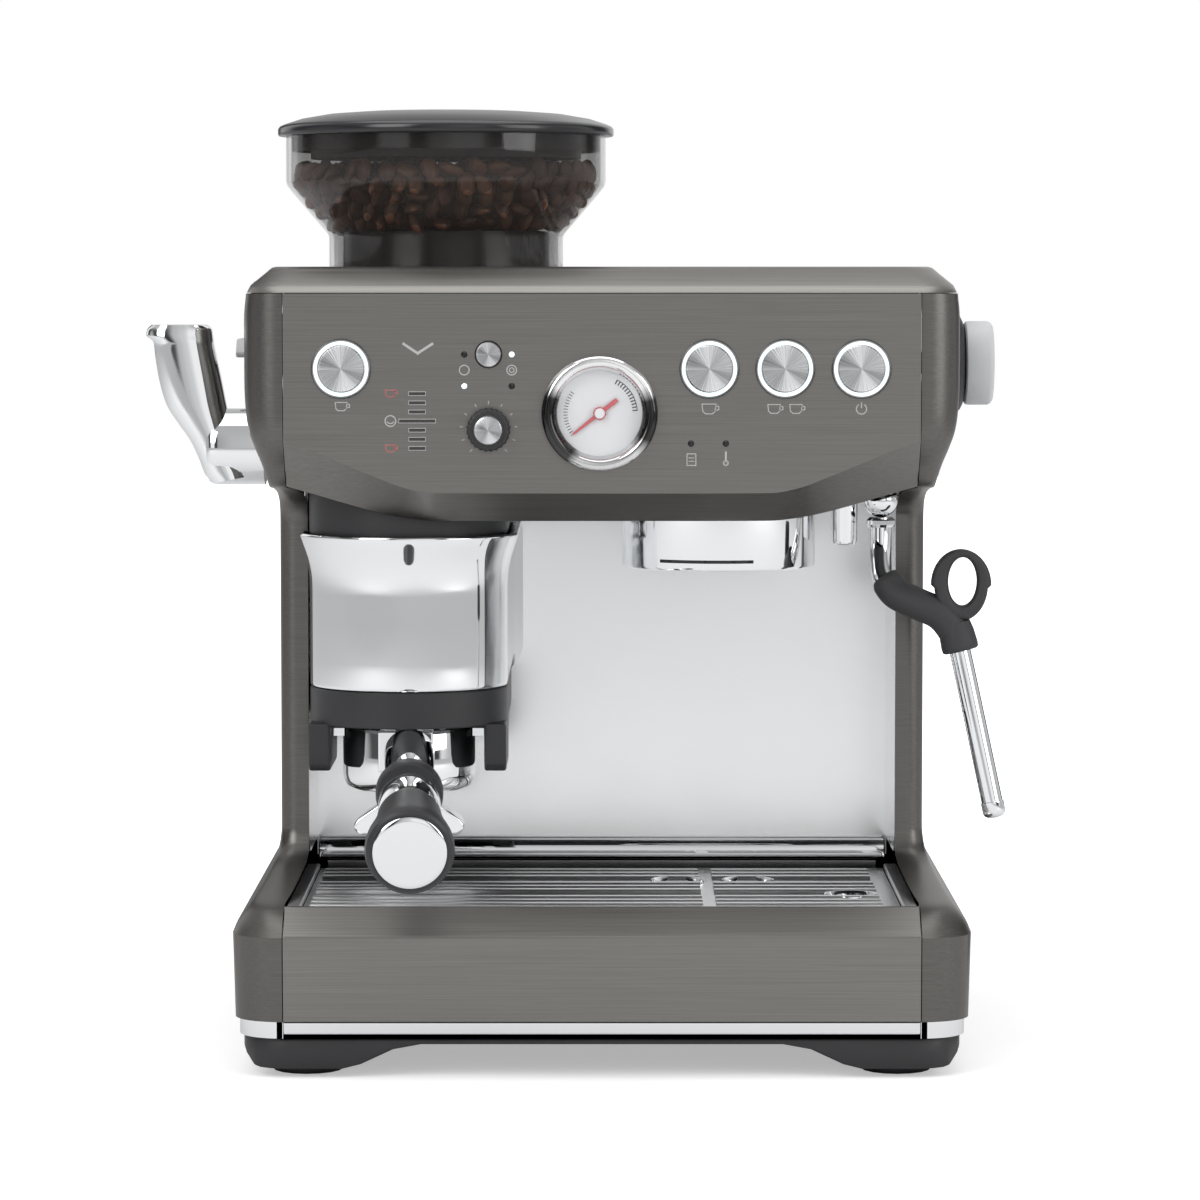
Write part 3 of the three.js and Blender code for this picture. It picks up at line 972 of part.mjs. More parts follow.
add(
  piece('portafilter_head', portafilterHead(), CHROME, TAMP_X, TAMP_Y),
  piece('filter_basket', filterBasket(), STEEL, TAMP_X, TAMP_Y),
  piece('portafilter_handle', portafilterHandle(), BLACK_PLASTIC, TAMP_X, TAMP_Y),
  piece('handle_sleeve', handleSleeve(), CHROME, TAMP_X, TAMP_Y),
  piece('portafilter_spout', portafilterSpout(), CHROME, TAMP_X, TAMP_Y),
);
add(
  piece('light_guide', lightGuide(), LIT_WHITE),
  piece('control_board', controlBoard(), BOARD_GREEN),
  piece('gauge_bezel', gaugeBezel(), CHROME, GAUGE_X, HEAD_FRONT, GAUGE_Z),
  piece('gauge_dial', gaugeDial(), DIAL_WHITE, GAUGE_X, HEAD_FRONT, GAUGE_Z),
  piece('gauge_needle', gaugeNeedle(), RED, GAUGE_X, HEAD_FRONT, GAUGE_Z),
  piece('dose_knob', doseKnob(), BLACK_PLASTIC, FILTER_X, HEAD_FRONT - GAP, KNOB_Z),
  piece('button_filter', roundButton(FILTER_R_BUTTON), STEEL, FILTER_X, HEAD_FRONT, FILTER_Z),
);
Object.entries(BUTTON_X).forEach(([name, x]) =>
  add(piece(`button_${name}`, roundButton(BUTTON_R), STEEL, x, HEAD_FRONT, BUTTON_Z)));
add(
  piece('grind_size_dial', grindSizeDial(), BLACK_PLASTIC, 0, GRIND_DIAL_Y, GRIND_DIAL_Z),
  piece('grinder_motor', grinderMotor(), STEEL, HOPPER_X, HOPPER_Y),
  piece('burr_carrier', burrCarrier(), BLACK_PLASTIC, HOPPER_X, HOPPER_Y),
  piece('lower_burr', lowerBurr(), STEEL, HOPPER_X, HOPPER_Y),
  piece('bean_hopper', beanHopper(), SMOKED, HOPPER_X, HOPPER_Y),
  piece('hopper_lid', hopperLid(), BLACK_PLASTIC, HOPPER_X, HOPPER_Y),
);
add(piece('water_tank', waterTank(), SMOKED), piece('tank_lid', tankLid(), BLACK_PLASTIC));

// The origin is the centre of the footprint box, on the worktop.
machine.updateMatrixWorld(true);
const bounds = new THREE.Box3().setFromObject(machine, true);
machine.position.set(-(bounds.min.x + bounds.max.x) / 2, -(bounds.min.y + bounds.max.y) / 2, -bounds.min.z);

const part = new THREE.Group();
part.add(machine);
export default part;
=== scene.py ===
"""The looks of the espresso machine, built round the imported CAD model, in metres.

Sizes are in millimetres from the machine's own datum, as the CAD source has them: x = 0 on the centre line,
y = 0 at the drip tray's front face, z = 0 on the worktop. The front of the machine faces -Y.
"""
import math
import random

import bmesh
import bpy
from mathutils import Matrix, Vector


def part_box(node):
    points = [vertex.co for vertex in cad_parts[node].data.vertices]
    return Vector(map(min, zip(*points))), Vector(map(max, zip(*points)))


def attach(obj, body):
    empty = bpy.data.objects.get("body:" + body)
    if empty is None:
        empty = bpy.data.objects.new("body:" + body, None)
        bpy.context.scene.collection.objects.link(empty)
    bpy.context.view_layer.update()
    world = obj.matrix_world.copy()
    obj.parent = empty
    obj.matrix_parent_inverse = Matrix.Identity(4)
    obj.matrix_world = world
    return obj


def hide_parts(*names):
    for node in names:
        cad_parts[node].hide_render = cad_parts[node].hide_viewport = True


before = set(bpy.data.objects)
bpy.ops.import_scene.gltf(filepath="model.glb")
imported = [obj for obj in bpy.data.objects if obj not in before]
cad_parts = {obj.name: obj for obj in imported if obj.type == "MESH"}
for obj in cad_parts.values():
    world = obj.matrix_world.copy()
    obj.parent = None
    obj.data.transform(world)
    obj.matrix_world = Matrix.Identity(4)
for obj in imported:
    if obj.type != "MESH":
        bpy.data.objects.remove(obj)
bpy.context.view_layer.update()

# ---- datum and driving sizes
MM = 0.001
FASCIA_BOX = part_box("front_fascia")
TRAY_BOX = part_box("drip_tray_front")
ORIGIN = Vector(((FASCIA_BOX[0][0] + FASCIA_BOX[1][0]) / 2, TRAY_BOX[0][1], 0.0))

FACE_Y = 20
FASCIA_TOP = 337.4
PANEL_HALF = 137.2
CHEEK_HALF = 137.5
BAY_HALF = 131.7
SPINE_Y = 236
BACK = 300
SHELF_Z = 97
TAMP_X, TAMP_Y = -86, 88
HOPPER_X, HOPPER_Y = -71, 150
BUTTON_Z = 305.1
BUTTON_X = {"dose": -112.2, "one_cup": 46.2, "two_cup": 78.8, "power": 111.6}
FILTER_X, FILTER_Z, KNOB_Z = -48.8, 311.3, 279
GAUGE_X, GAUGE_Z = -1, 286
METER_X, METER_Z, METER_PITCH = -79.5, 282.7, 3.92
WAND = (124, 85, 245.6)
LEVER_PIVOT = (0, 95, 269)
GRIND_HUB = (0, 152, 312.5)
STEAM_HUB = (0, 110, 306)
GROUP_X, GROUP_Y, GROUP_R = 52, 95, 43

# Points closer than JOIN are one point, and edges shorter than SLIVER go, in metres.
JOIN = 2e-6
SLIVER = 1e-7


def at(p):
    return ORIGIN + Vector(p) * MM


def circle(count):
    """That many angles once round, without the last."""
    return [2 * math.pi * k / count for k in range(count)]


def swell(a, power):
    """The unit point at an angle on a rounded square; the lower the power, the squarer."""
    return [math.copysign(abs(f(a)) ** power, f(a)) for f in (math.cos, math.sin)]


# ---- mesh helpers
def solid_object(name, verts, faces, tidy_edges=False):
    """An object from points in datum millimetres, with merged points and outward faces."""
    mesh = bpy.data.meshes.new(name)
    mesh.from_pydata([at(v) for v in verts], [], faces)
    work = bmesh.new()
    work.from_mesh(mesh)
    bmesh.ops.remove_doubles(work, verts=work.verts, dist=JOIN)
    if tidy_edges:
        bmesh.ops.dissolve_degenerate(work, edges=work.edges, dist=SLIVER)
    bmesh.ops.recalc_face_normals(work, faces=work.faces)
    work.to_mesh(mesh)
    work.free()
    made = bpy.data.objects.new(name, mesh)
    bpy.context.scene.collection.objects.link(made)
    return made


def make(name, verts, faces, material, body="housing", stands_for=(), sharp=32, bevel=0.0, bevel_angle=30):
    """One piece that rides on a body, in its material's slot, in place of the CAD nodes it stands for."""
    piece = solid_object(name, verts, faces, tidy_edges=True)
    mesh = piece.data
    mesh.materials.append(material)
    mesh.shade_smooth()
    if bevel:
        soften(piece, bevel, bevel_angle)
    mesh.set_sharp_from_angle(angle=math.radians(sharp))
    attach(piece, body)
    if stands_for:
        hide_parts(*stands_for)
    return piece


def soften(piece, width, angle=30, segments=3):
    """Rounds the edges sharper than an angle, by a width in millimetres."""
    bevel = piece.modifiers.new("edge", "BEVEL")
    bevel.width = width * MM
    bevel.segments = segments
    bevel.limit_method = "ANGLE"
    bevel.angle_limit = math.radians(angle)
    bevel.harden_normals = True


def arc(cx, cy, r, start, end, steps=8):
    """Points on an arc between two angles in degrees."""
    turns = [math.radians(start + (end - start) * i / steps) for i in range(steps + 1)]
    return [(cx + r * math.cos(a), cy + r * math.sin(a)) for a in turns]


def merged(*shapes):
    """Several (verts, faces) shapes as one."""
    verts, faces = [], []
    for v, f in shapes:
        base = len(verts)
        verts += v
        faces += [[base + i for i in face] for face in f]
    return verts, faces


def loft(rings, closed=True, caps=True):
    """Skin over rings of points that all have the same count."""
    n = len(rings[0])
    verts = [p for ring in rings for p in ring]
    faces = []
    for k in range(len(rings) - 1):
        for i in range(n if closed else n - 1):
            j = (i + 1) % n
            faces.append([k * n + i, k * n + j, (k + 1) * n + j, (k + 1) * n + i])
    if caps:
        faces += [list(range(n))[::-1], [(len(rings) - 1) * n + i for i in range(n)]]
    return verts, faces


def turned(profile, centre=(0, 0, 0), axis="Z", segments=72):
    """A (radius, height) profile turned about an axis, with heights along -Y for "Y".

    A profile that starts or ends off the axis closes on itself.
    """
    if profile[0][0] > 0 or profile[-1][0] > 0:
        profile = list(profile) + [profile[0]]
    rings = []
    for a in circle(segments):
        c, s = math.cos(a), math.sin(a)
        ways = {"Z": lambda r, h: (r * c, r * s, h), "Y": lambda r, h: (r * c, -h, r * s),
                "X": lambda r, h: (h, r * c, r * s)}
        rings.append([tuple(q + o for q, o in zip(ways[axis](r, h), centre)) for r, h in profile])
    return loft(rings + [rings[0]], closed=False, caps=False)


def rod(radius, low, high):
    """The profile of a plain rod, for turned."""
    return [(0, low), (radius, low), (radius, high), (0, high)]


def prism(outline, a, b, axis="Y"):
    """An outline run along an axis: (x, z) along Y, (y, z) along X, (x, y) along Z."""
    ways = {"Y": lambda u, v, w: (u, w, v), "X": lambda u, v, w: (w, u, v), "Z": lambda u, v, w: (u, v, w)}
    return loft([[ways[axis](u, v, w) for u, v in outline] for w in (a, b)])


def block(x0, x1, y0, y1, z0, z1):
    return prism([(x0, y0), (x1, y0), (x1, y1), (x0, y1)], z0, z1, "Z")


def slopes(values):
    """Tangents that never overshoot, for a smooth line through values at whole steps."""
    steps = [b - a for a, b in zip(values, values[1:])]
    inner = [2 * a * b / (a + b) if a * b > 0 else 0.0 for a, b in zip(steps, steps[1:])]
    return [steps[0]] + inner + [steps[-1]]


def smooth(values, parts):
    """Values with parts - 1 more between each two, on a smooth line without overshoot."""
    tangents = slopes(values)
    out = []
    for k in range(len(values) - 1):
        for i in range(parts):
            t = i / parts
            h = (2 * t**3 - 3 * t**2 + 1, t**3 - 2 * t**2 + t, -2 * t**3 + 3 * t**2, t**3 - t**2)
            ends = (values[k], tangents[k], values[k + 1], tangents[k + 1])
            out.append(h[0] * ends[0] + h[1] * ends[1] + h[2] * ends[2] + h[3] * ends[3])
    return out + [values[-1]]


def smooth_rows(rows, parts):
    """Rows with parts - 1 more between each two, smooth in every column."""
    return list(zip(*[smooth(list(column), parts) for column in zip(*rows)]))


def along(points, key):
    """The value at a key, on straight lines between (key, value) points."""
    for (a, u), (b, v) in zip(points, points[1:]):
        if key <= b:
            return u + (v - u) * (key - a) / (b - a)
    return points[-1][1]


def curve_points(points, parts):
    """A Catmull-Rom line through points."""
    p = [Vector(q) for q in points]
    p = [2 * p[0] - p[1]] + p + [2 * p[-1] - p[-2]]
    out = []
    for k in range(1, len(p) - 2):
        for i in range(parts):
            t = i / parts
            out.append(0.5 * (2 * p[k] + (p[k + 1] - p[k - 1]) * t
                              + (2 * p[k - 1] - 5 * p[k] + 4 * p[k + 1] - p[k + 2]) * t**2
                              + (3 * p[k] - p[k - 1] - 3 * p[k + 1] + p[k + 2]) * t**3))
    return out + [p[-2]]


def tube(points, radius, sides=28, parts=8):
    """A tube along a smooth line, with its radius as a function of the share of the length."""
    line = curve_points(points, parts)
    way = (line[1] - line[0]).normalized()
    side = way.orthogonal().normalized()
    rings = []
    for k, p in enumerate(line):
        ahead = line[min(k + 1, len(line) - 1)] - line[max(k - 1, 0)]
        ahead.normalize()
        side = (side - ahead * side.dot(ahead)).normalized()
        other = ahead.cross(side)
        r = radius(k / (len(line) - 1))
        rings.append([tuple(p + (side * math.cos(a) + other * math.sin(a)) * r) for a in circle(sides)])
    return loft(rings)


def turned_along(start, way, profile, segments=28):
    """A (distance, radius) profile turned about the line from a point in a direction."""
    way = Vector(way).normalized()
    side = way.orthogonal().normalized()
    other = way.cross(side)
    return loft([[tuple(Vector(start) + way * d + (side * math.cos(a) + other * math.sin(a)) * r)
            for a in circle(segments)] for d, r in profile])


def cut(piece, *shapes):
    """Takes closed shapes out of a piece for good."""
    cutter = solid_object("cutter", *merged(*shapes))
    step = piece.modifiers.new("cut", "BOOLEAN")
    step.operation = "DIFFERENCE"
    step.solver = "EXACT"
    step.object = cutter
    piece.modifiers.move(len(piece.modifiers) - 1, 0)
    bpy.context.view_layer.objects.active = piece
    with bpy.context.temp_override(object=piece, active_object=piece, selected_objects=[piece]):
        bpy.ops.object.modifier_apply(modifier="cut")
    bpy.data.objects.remove(cutter)
    piece.data.set_sharp_from_angle(angle=math.radians(30))


# ---- materials
def shader(name, color, rough, metal=0.0, **sockets):
    material = bpy.data.materials.new(name)
    material.use_nodes = True
    bsdf = material.node_tree.nodes["Principled BSDF"]
    bsdf.inputs["Base Color"].default_value = (*color, 1)
    bsdf.inputs["Roughness"].default_value = rough
    bsdf.inputs["Metallic"].default_value = metal
    for key, value in sockets.items():
        bsdf.inputs[key.replace("_", " ")].default_value = value
    return material, material.node_tree, bsdf


def node(tree, kind, **settings):
    made = tree.nodes.new(kind)
    for key, value in settings.items():
        if key in made.inputs.keys():
            made.inputs[key].default_value = value
        else:
            setattr(made, key, value)
    return made


def ramp(tree, source, low, high, place=(0.0, 1.0)):
    made = tree.nodes.new("ShaderNodeValToRGB")
    made.color_ramp.elements[0].position, made.color_ramp.elements[1].position = place
    made.color_ramp.elements[0].color = (*low, 1) if isinstance(low, tuple) else (low, low, low, 1)
    made.color_ramp.elements[1].color = (*high, 1) if isinstance(high, tuple) else (high, high, high, 1)
    tree.links.new(source, made.inputs[0])
    return made.outputs[0]


def long_ramp(tree, source, stops, last):
    """A colour ramp of (place, colour) stops, in the last colour at its end and before its first stop."""
    out = ramp(tree, source, tuple(last), tuple(last))
    points = out.node.color_ramp.elements
    for place_at, color in stops:
        spot = points.new(place_at) if place_at else points[0]
        spot.color = (*color, 1)
    return out


def mixed(tree, factor, a, b, blend="MIX"):
    """The colour between a and b, each a socket or a colour, and factor a socket or a number."""
    made = node(tree, "ShaderNodeMix", data_type="RGBA", blend_type=blend)
    colours = [socket for socket in made.inputs if socket.type == "RGBA"]
    share = next(socket for socket in made.inputs if socket.name == "Factor" and socket.type == "VALUE")
    for socket, value in ((share, factor), (colours[0], a), (colours[1], b)):
        if isinstance(value, (float, tuple)):
            socket.default_value = value
        else:
            tree.links.new(value, socket)
    return next(socket for socket in made.outputs if socket.type == "RGBA")


def ranged(tree, source, **limits):
    """A value moved from one range to another."""
    made = tree.nodes.new("ShaderNodeMapRange")
    for key, value in limits.items():
        made.inputs[key.replace("_", " ")].default_value = value
    tree.links.new(source, made.inputs["Value"])
    return made.outputs[0]


def seen_directly(tree):
    """One for the rays that show a thing as a plain backdrop: from the camera or through clear plastic."""
    path = tree.nodes.new("ShaderNodeLightPath")
    either = node(tree, "ShaderNodeMath", operation="MAXIMUM")
    tree.links.new(path.outputs["Is Camera Ray"], either.inputs[0])
    tree.links.new(path.outputs["Is Transmission Ray"], either.inputs[1])
    return either.outputs[0]


def stretched_noise(tree, scale, detail=4.0):
    place = tree.nodes.new("ShaderNodeTexCoord")
    mapping = tree.nodes.new("ShaderNodeMapping")
    mapping.inputs["Scale"].default_value = scale
    noise = node(tree, "ShaderNodeTexNoise", Scale=1.0, Detail=detail, Roughness=0.6)
    tree.links.new(place.outputs["Object"], mapping.inputs["Vector"])
    tree.links.new(mapping.outputs[0], noise.inputs["Vector"])
    return noise.outputs["Fac"]


def bumped(tree, bsdf, height, strength, distance=0.0002):
    bump = node(tree, "ShaderNodeBump", Strength=strength, Distance=distance)
    tree.links.new(height, bump.inputs["Height"])
    tree.links.new(bump.outputs[0], bsdf.inputs["Normal"])


def brushed(name, dark, light, rough, scale, bump=0.12):
    """Metal with fine lines along the axis that has the smallest scale."""
    material, tree, bsdf = shader(name, light, rough[0], 1.0)
    lines = stretched_noise(tree, scale)
    tree.links.new(ramp(tree, lines, dark, light, (0.3, 0.7)), bsdf.inputs["Base Color"])
    tree.links.new(ramp(tree, lines, rough[0], rough[1], (0.25, 0.75)), bsdf.inputs["Roughness"])
    bumped(tree, bsdf, lines, bump)
    return material


def plastic(name, color, rough=0.5, grain=1400.0, bump=0.15, spread=0.12):
    material, tree, bsdf = shader(name, color, rough)
    fine = stretched_noise(tree, (grain, grain, grain), detail=2.0)
    wide = stretched_noise(tree, (30, 30, 30), detail=2.0)
    darker = tuple(c * (1 - spread) for c in color)
    lighter = tuple(min(c * (1 + spread), 1) for c in color)
    tree.links.new(ramp(tree, wide, darker, lighter, (0.3, 0.7)), bsdf.inputs["Base Color"])
    tree.links.new(ramp(tree, fine, rough - 0.06, rough + 0.06), bsdf.inputs["Roughness"])
    bumped(tree, bsdf, fine, bump, 0.0001)
    return material


def polished(name, color, rough, scratch=0.03):
    material, tree, bsdf = shader(name, color, rough, 1.0)
    wide = stretched_noise(tree, (45, 45, 45), detail=3.0)
    tree.links.new(ramp(tree, wide, max(rough - scratch, 0.01), rough + scratch), bsdf.inputs["Roughness"])
    return material


# (share of a turn, brightness) of the painted highlight fans on a turned button face, and of the painted
# reflection on the gauge's rim.
PAINTED_HIGHLIGHT_GAIN = 1.35
FACE_PAINTED_HIGHLIGHTS = ((0.0, 0.66), (0.07, 0.42), (0.17, 1.0), (0.24, 0.98), (0.33, 0.58), (0.5, 0.66), (0.57, 0.4),
    (0.67, 1.0), (0.74, 0.96), (0.84, 0.52))
RIM_PAINTED_REFLECTION = ((0.0, 0.03), (0.05, 0.03), (0.09, 0.75), (0.41, 0.75), (0.46, 0.04), (0.58, 0.04), (0.63, 0.6),
    (0.82, 0.55), (0.85, 0.06), (0.93, 0.05))


def radial_brushed_painted_highlights(name, centre_x, centre_z, color, highlight_list=FACE_PAINTED_HIGHLIGHTS, rough=(0.24, 0.42), grain=0.7):
    """A turned face: fine lines that run out from an axis along Y through that place, with painted
    highlight and shade fans in the base colour.
    """
    material, tree, bsdf = shader(name, color, rough[0], 1.0)
    place = tree.nodes.new("ShaderNodeTexCoord")
    mapping = tree.nodes.new("ShaderNodeMapping")
    centre = at((centre_x, 0, centre_z))
    mapping.inputs["Location"].default_value = (-centre.x, 0, -centre.z)
    mapping.inputs["Scale"].default_value = (1, 0, 1)
    gradient = node(tree, "ShaderNodeTexGradient", gradient_type="RADIAL")
    turn = tree.nodes.new("ShaderNodeVectorRotate")
    turn.rotation_type = "X_AXIS"
    turn.inputs["Angle"].default_value = math.pi / 2
    lines = node(tree, "ShaderNodeTexNoise", Scale=90.0, Detail=3.0, Roughness=0.7)
    lines.noise_dimensions = "1D"
    tree.links.new(place.outputs["Object"], mapping.inputs["Vector"])
    tree.links.new(mapping.outputs[0], turn.inputs["Vector"])
    tree.links.new(turn.outputs[0], gradient.inputs[0])
    tree.links.new(gradient.outputs["Fac"], lines.inputs["W"])
    # Painted highlight and shade: broad light and dark fans, as a turned face reflects them, painted into
    # the base colour, with the fine lines on top.
    stops = [(place_at, [value * c * PAINTED_HIGHLIGHT_GAIN for c in color]) for place_at, value in highlight_list]
    painted_fans = long_ramp(tree, gradient.outputs["Fac"], stops, stops[0][1])
    fine = ramp(tree, lines.outputs[0], grain, 1.0, (0.35, 0.65))
    tree.links.new(mixed(tree, 1.0, painted_fans, fine, "MULTIPLY"), bsdf.inputs["Base Color"])
    tree.links.new(ramp(tree, lines.outputs[0], rough[0], rough[1], (0.3, 0.7)), bsdf.inputs["Roughness"])
    return material


def glowing(name, color, strength):
    material, tree, bsdf = shader(name, color, 0.35)
    bsdf.inputs["Emission Color"].default_value = (*color, 1)
    bsdf.inputs["Emission Strength"].default_value = strength
    fine = stretched_noise(tree, (900, 900, 900), detail=1.0)
    tree.links.new(ramp(tree, fine, 0.3, 0.45), bsdf.inputs["Roughness"])
    return material


def smoked(name, color, rough, mix):
    """Tinted clear plastic, thin enough to see what is inside."""
    material, tree, bsdf = shader(name, color, rough, Alpha=mix)
    fine = stretched_noise(tree, (60, 60, 60), detail=2.0)
    tree.links.new(ramp(tree, fine, max(rough - 0.02, 0.01), rough + 0.03), bsdf.inputs["Roughness"])
    bsdf.inputs["IOR"].default_value = 1.5
    bsdf.inputs["Coat Weight"].default_value = 0.6
    return material


DARK_STEEL = brushed("dark_brushed_steel", (0.2, 0.193, 0.182), (0.255, 0.247, 0.233), (0.3, 0.38),
    (14, 900, 2600), 0.04)
# A darker copy of the fascia's brushed steel, as painted shade on the side panels.
SHADED_SIDE_STEEL = brushed("dark_brushed_side_painted_shade", (0.125, 0.12, 0.113), (0.165, 0.16, 0.151), (0.32, 0.4),
    (14, 900, 2600), 0.04)
CHROME = polished("chrome", (0.83, 0.84, 0.85), 0.05)
MIRROR = polished("polished_panel", (0.93, 0.935, 0.94), 0.24)
GRID_STEEL = polished("grid_steel", (0.9, 0.9, 0.905), 0.3)
SATIN = brushed("satin_steel", (0.42, 0.42, 0.42), (0.6, 0.6, 0.6), (0.2, 0.35), (6, 700, 1200))
DARK_CHROME = polished("dark_chrome", (0.3, 0.3, 0.305), 0.25)
TURNED = polished("machined_steel", (0.6, 0.6, 0.6), 0.22)
BLACK = plastic("black_plastic", (0.022, 0.022, 0.024), 0.45)
GLOSS_BLACK = plastic("black_gloss_plastic", (0.018, 0.018, 0.02), 0.2, bump=0.03)
GREY = plastic("grey_plastic", (0.56, 0.57, 0.58), 0.45, spread=0.03)
RUBBER = plastic("black_rubber", (0.03, 0.03, 0.032), 0.62, grain=900)
SMOKE = smoked("smoked_plastic", (0.03, 0.026, 0.024), 0.05, 0.36)
GLASS = smoked("clear_lens", (0.9, 0.92, 0.95), 0.02, 0.06)
LIGHT = glowing("lit_white", (0.86, 0.97, 1.0), 0.55)
LAMP_OFF = plastic("lamp_dark", (0.01, 0.01, 0.01), 0.2)
PRINT = plastic("printed_grey", (0.42, 0.42, 0.41), 0.5, spread=0.03)
PRINT_RED = plastic("printed_red", (0.42, 0.12, 0.11), 0.5, spread=0.05)
SLOT_DARK = plastic("slot_dark", (0.035, 0.034, 0.033), 0.4)
PRINT_BLACK = plastic("printed_black", (0.012, 0.012, 0.013), 0.5, spread=0.05)
DIAL = plastic("dial_white", (0.72, 0.73, 0.74), 0.4, spread=0.02)
NEEDLE = plastic("needle_red", (0.5, 0.035, 0.045), 0.3, spread=0.05)
BOARD = plastic("circuit_board", (0.02, 0.08, 0.04), 0.35)
BRASS = polished("brass", (0.6, 0.44, 0.2), 0.2)
BEAN = plastic("roasted_bean", (0.15, 0.062, 0.03), 0.34, grain=500, bump=0.35, spread=0.5)

# ---- side panels
# z, y of the front edge, outer half width, inner half width, front corner radius
CHEEK = [(24.9, 1.5, 159, 137.5, 20), (61.4, 0, 160, 137.5, 21), (66.2, 4.6, 158, 137.5, 19),
    (70.7, 11, 154.6, 137.5, 15), (73, 16.5, 152.6, 137.5, 13), (76.4, 42, 150.2, 135.3, 11),
    (80, 68, 148.1, 133.5, 9), (83.5, 87, 146.7, 132.2, 8), (88, 96, 145.6, 131.7, 8),
    (93, 99, 144.8, 131.7, 8), (99, 100, 144.5, 131.7, 8), (235, 100, 144.5, 131.7, 8),
    (243, 96.5, 144.5, 131.7, 8), (248, 86, 144.7, 132.7, 9), (251.5, 62, 144.9, 135.2, 10),
    (253.5, 40, 145.1, 137.5, 7), (263, 31, 147.7, 137.5, 10), (271, 24, 150.7, 137.5, 13),
    (278, 20.6, 153, 137.5, 15), (286, 20, 154.3, 137.5, 17), (300, 20, 155, 137.5, 17),
    (325.4, 20, 155, 137.5, 17), (337.4, 20, 154, 137.5, 17),]
SHELF_STEP = 0.05
CHEEK_WALL = 3
CHEEK_ROWS = [CHEEK[0]] + smooth_rows(CHEEK[1:], 4)


def cheek_section(row, back):
    z, front, outer, inner, radius = row
    r = max(min(radius, outer - inner - 1), 1)
    skin = [(inner, front)] + arc(outer - r, front + r, r, -90, 0, 9) + [(outer, back)]
    wall = [(outer - CHEEK_WALL, back)] + arc(outer - r, front + r, max(r - CHEEK_WALL, 0.6), 0, -90, 9)
    wall.append((inner, front + CHEEK_WALL))
    return [(x, y, z) for x, y in skin + wall]


def side_panel(side, name):
    rings = []
    for row in CHEEK_ROWS:
        if rings and row[0] > SHELF_Z > rings[-1][0][2]:
            edge = tuple(along([(r[0], r[i]) for r in CHEEK_ROWS], SHELF_Z) for i in range(1, 5))
            rings += [cheek_section((SHELF_Z, *edge), BACK), cheek_section((SHELF_Z + SHELF_STEP, *edge),
                    SPINE_Y)]
        rings.append(cheek_section(row, BACK if row[0] < SHELF_Z else SPINE_Y))
    rings = [[(side * x, y, z) for x, y, z in ring] for ring in rings]
    return make(name + "_skin", *loft(rings), SHADED_SIDE_STEEL, "housing", [name], sharp=38)


left = side_panel(-1, "side_panel_left")
right = side_panel(1, "side_panel_right")
cut(left, turned(rod(17.5, -162, -124), LEVER_PIVOT, "X", 48))
cut(left, turned(rod(6.6, -162, -135), GRIND_HUB, "X", 32))
cut(right, turned(rod(8.5, 135, 162), STEAM_HUB, "X", 32))

# ---- fascia, top cover, base
CREASE = [(0, 251.5, 238.6), (40, 251.5, 238.6), (72, 251.7, 238.7), (84, 253.6, 239.8), (98, 258.7, 242.6),
    (112, 264.4, 246.4), (126, 270.2, 250.5), (137.2, 274, 253.6)]
half_rows = smooth_rows(CREASE, 5)
rings = [[(x, y, z) for y, z in ((FACE_Y, FASCIA_TOP), (FACE_Y, crease), (40, foot), (43.5, foot),
        (43.5, foot + 2.5), (40.5, foot + 2.5), (22.5, crease + 1.2), (22.5, FASCIA_TOP))]
    for x, crease, foot in [(-x, c, f) for x, c, f in half_rows[:0:-1]] + half_rows]
fascia = make("fascia_skin", *loft(rings), DARK_STEEL, "housing", ["front_fascia"], sharp=20)


def peg(x, z, r, y0=14, y1=30, segments=40):
    """A rod through the fascia, to cut a hole with."""
    return turned(rod(r, -y1, -y0), (x, 0, z), "Y", segments)


LAMPS_LIT = (1, 2)
LAMPS = [(-59.2, 311.3), (-38.8, 311.3), (-59.2, 297.7), (-38.8, 297.7), (38.3, 273), (53.3, 273)]
BARS = [(METER_Z + i * METER_PITCH, 7.8 if i == 0 else 3.5) for i in (3, 2, 1, 0, -1, -2, -3)]
cut(fascia, *[peg(x, BUTTON_Z, 12.9, segments=56) for x in BUTTON_X.values()],
    peg(FILTER_X, FILTER_Z, 5.95), peg(FILTER_X, KNOB_Z, 3.5), peg(GAUGE_X, GAUGE_Z, 22.3, segments=72),
    *[peg(x, z, 1.4, segments=20) for x, z in LAMPS])

BAND_FOOT, BAND_TOP = 17.5, 24.6
COVER = [(337.7, 153.7, 20, 17), (338.6, 153.4, 20.6, 17), (341, 152.3, 24.5, 16), (346.4, 146.4, 38, 14),
    (347.6, 145.2, 41, 13.4), (348.6, 144, 43.2, 13), (349, 142.4, 46, 12)]


def cover_ring(z, half, front, r, inset=0.0):
    x, y, r = half - inset, front + inset, r - inset
    back = SPINE_Y - 0.3
    return [(u, v, z) for u, v in [(-x, back)] + arc(r - x, y + r, r, 180, 270, 10) + arc(x - r, y + r, r,
            270, 360, 10) + [(x, back)]]


cover = make("cover_skin", *loft([cover_ring(*row) for row in COVER]), DARK_STEEL, "housing", ["top_cover"],
    sharp=25)
cut(cover, loft([cover_ring(337, 153, 20, 17, 2.5), cover_ring(345.5, 147, 37, 14, 2.5)]),
    turned(rod(53.9, 330, 360), (HOPPER_X, HOPPER_Y, 0), "Z", 72),
    block(-6, 134, 54, 224, 344.6, 352), block(1, 127, 61, 217, 330, 352))


def band_line(start_x, y, r):
    """Half of the bright band's line round the base, and its mirror image."""
    half = [(-CHEEK_HALF, y), (start_x, y)] + arc(-PANEL_HALF, 22.8, r, 270, 180, 12)
    half += arc(-PANEL_HALF, 277.2, r, 180, 90, 12)
    return half + [(-x, y) for x, y in reversed(half)]


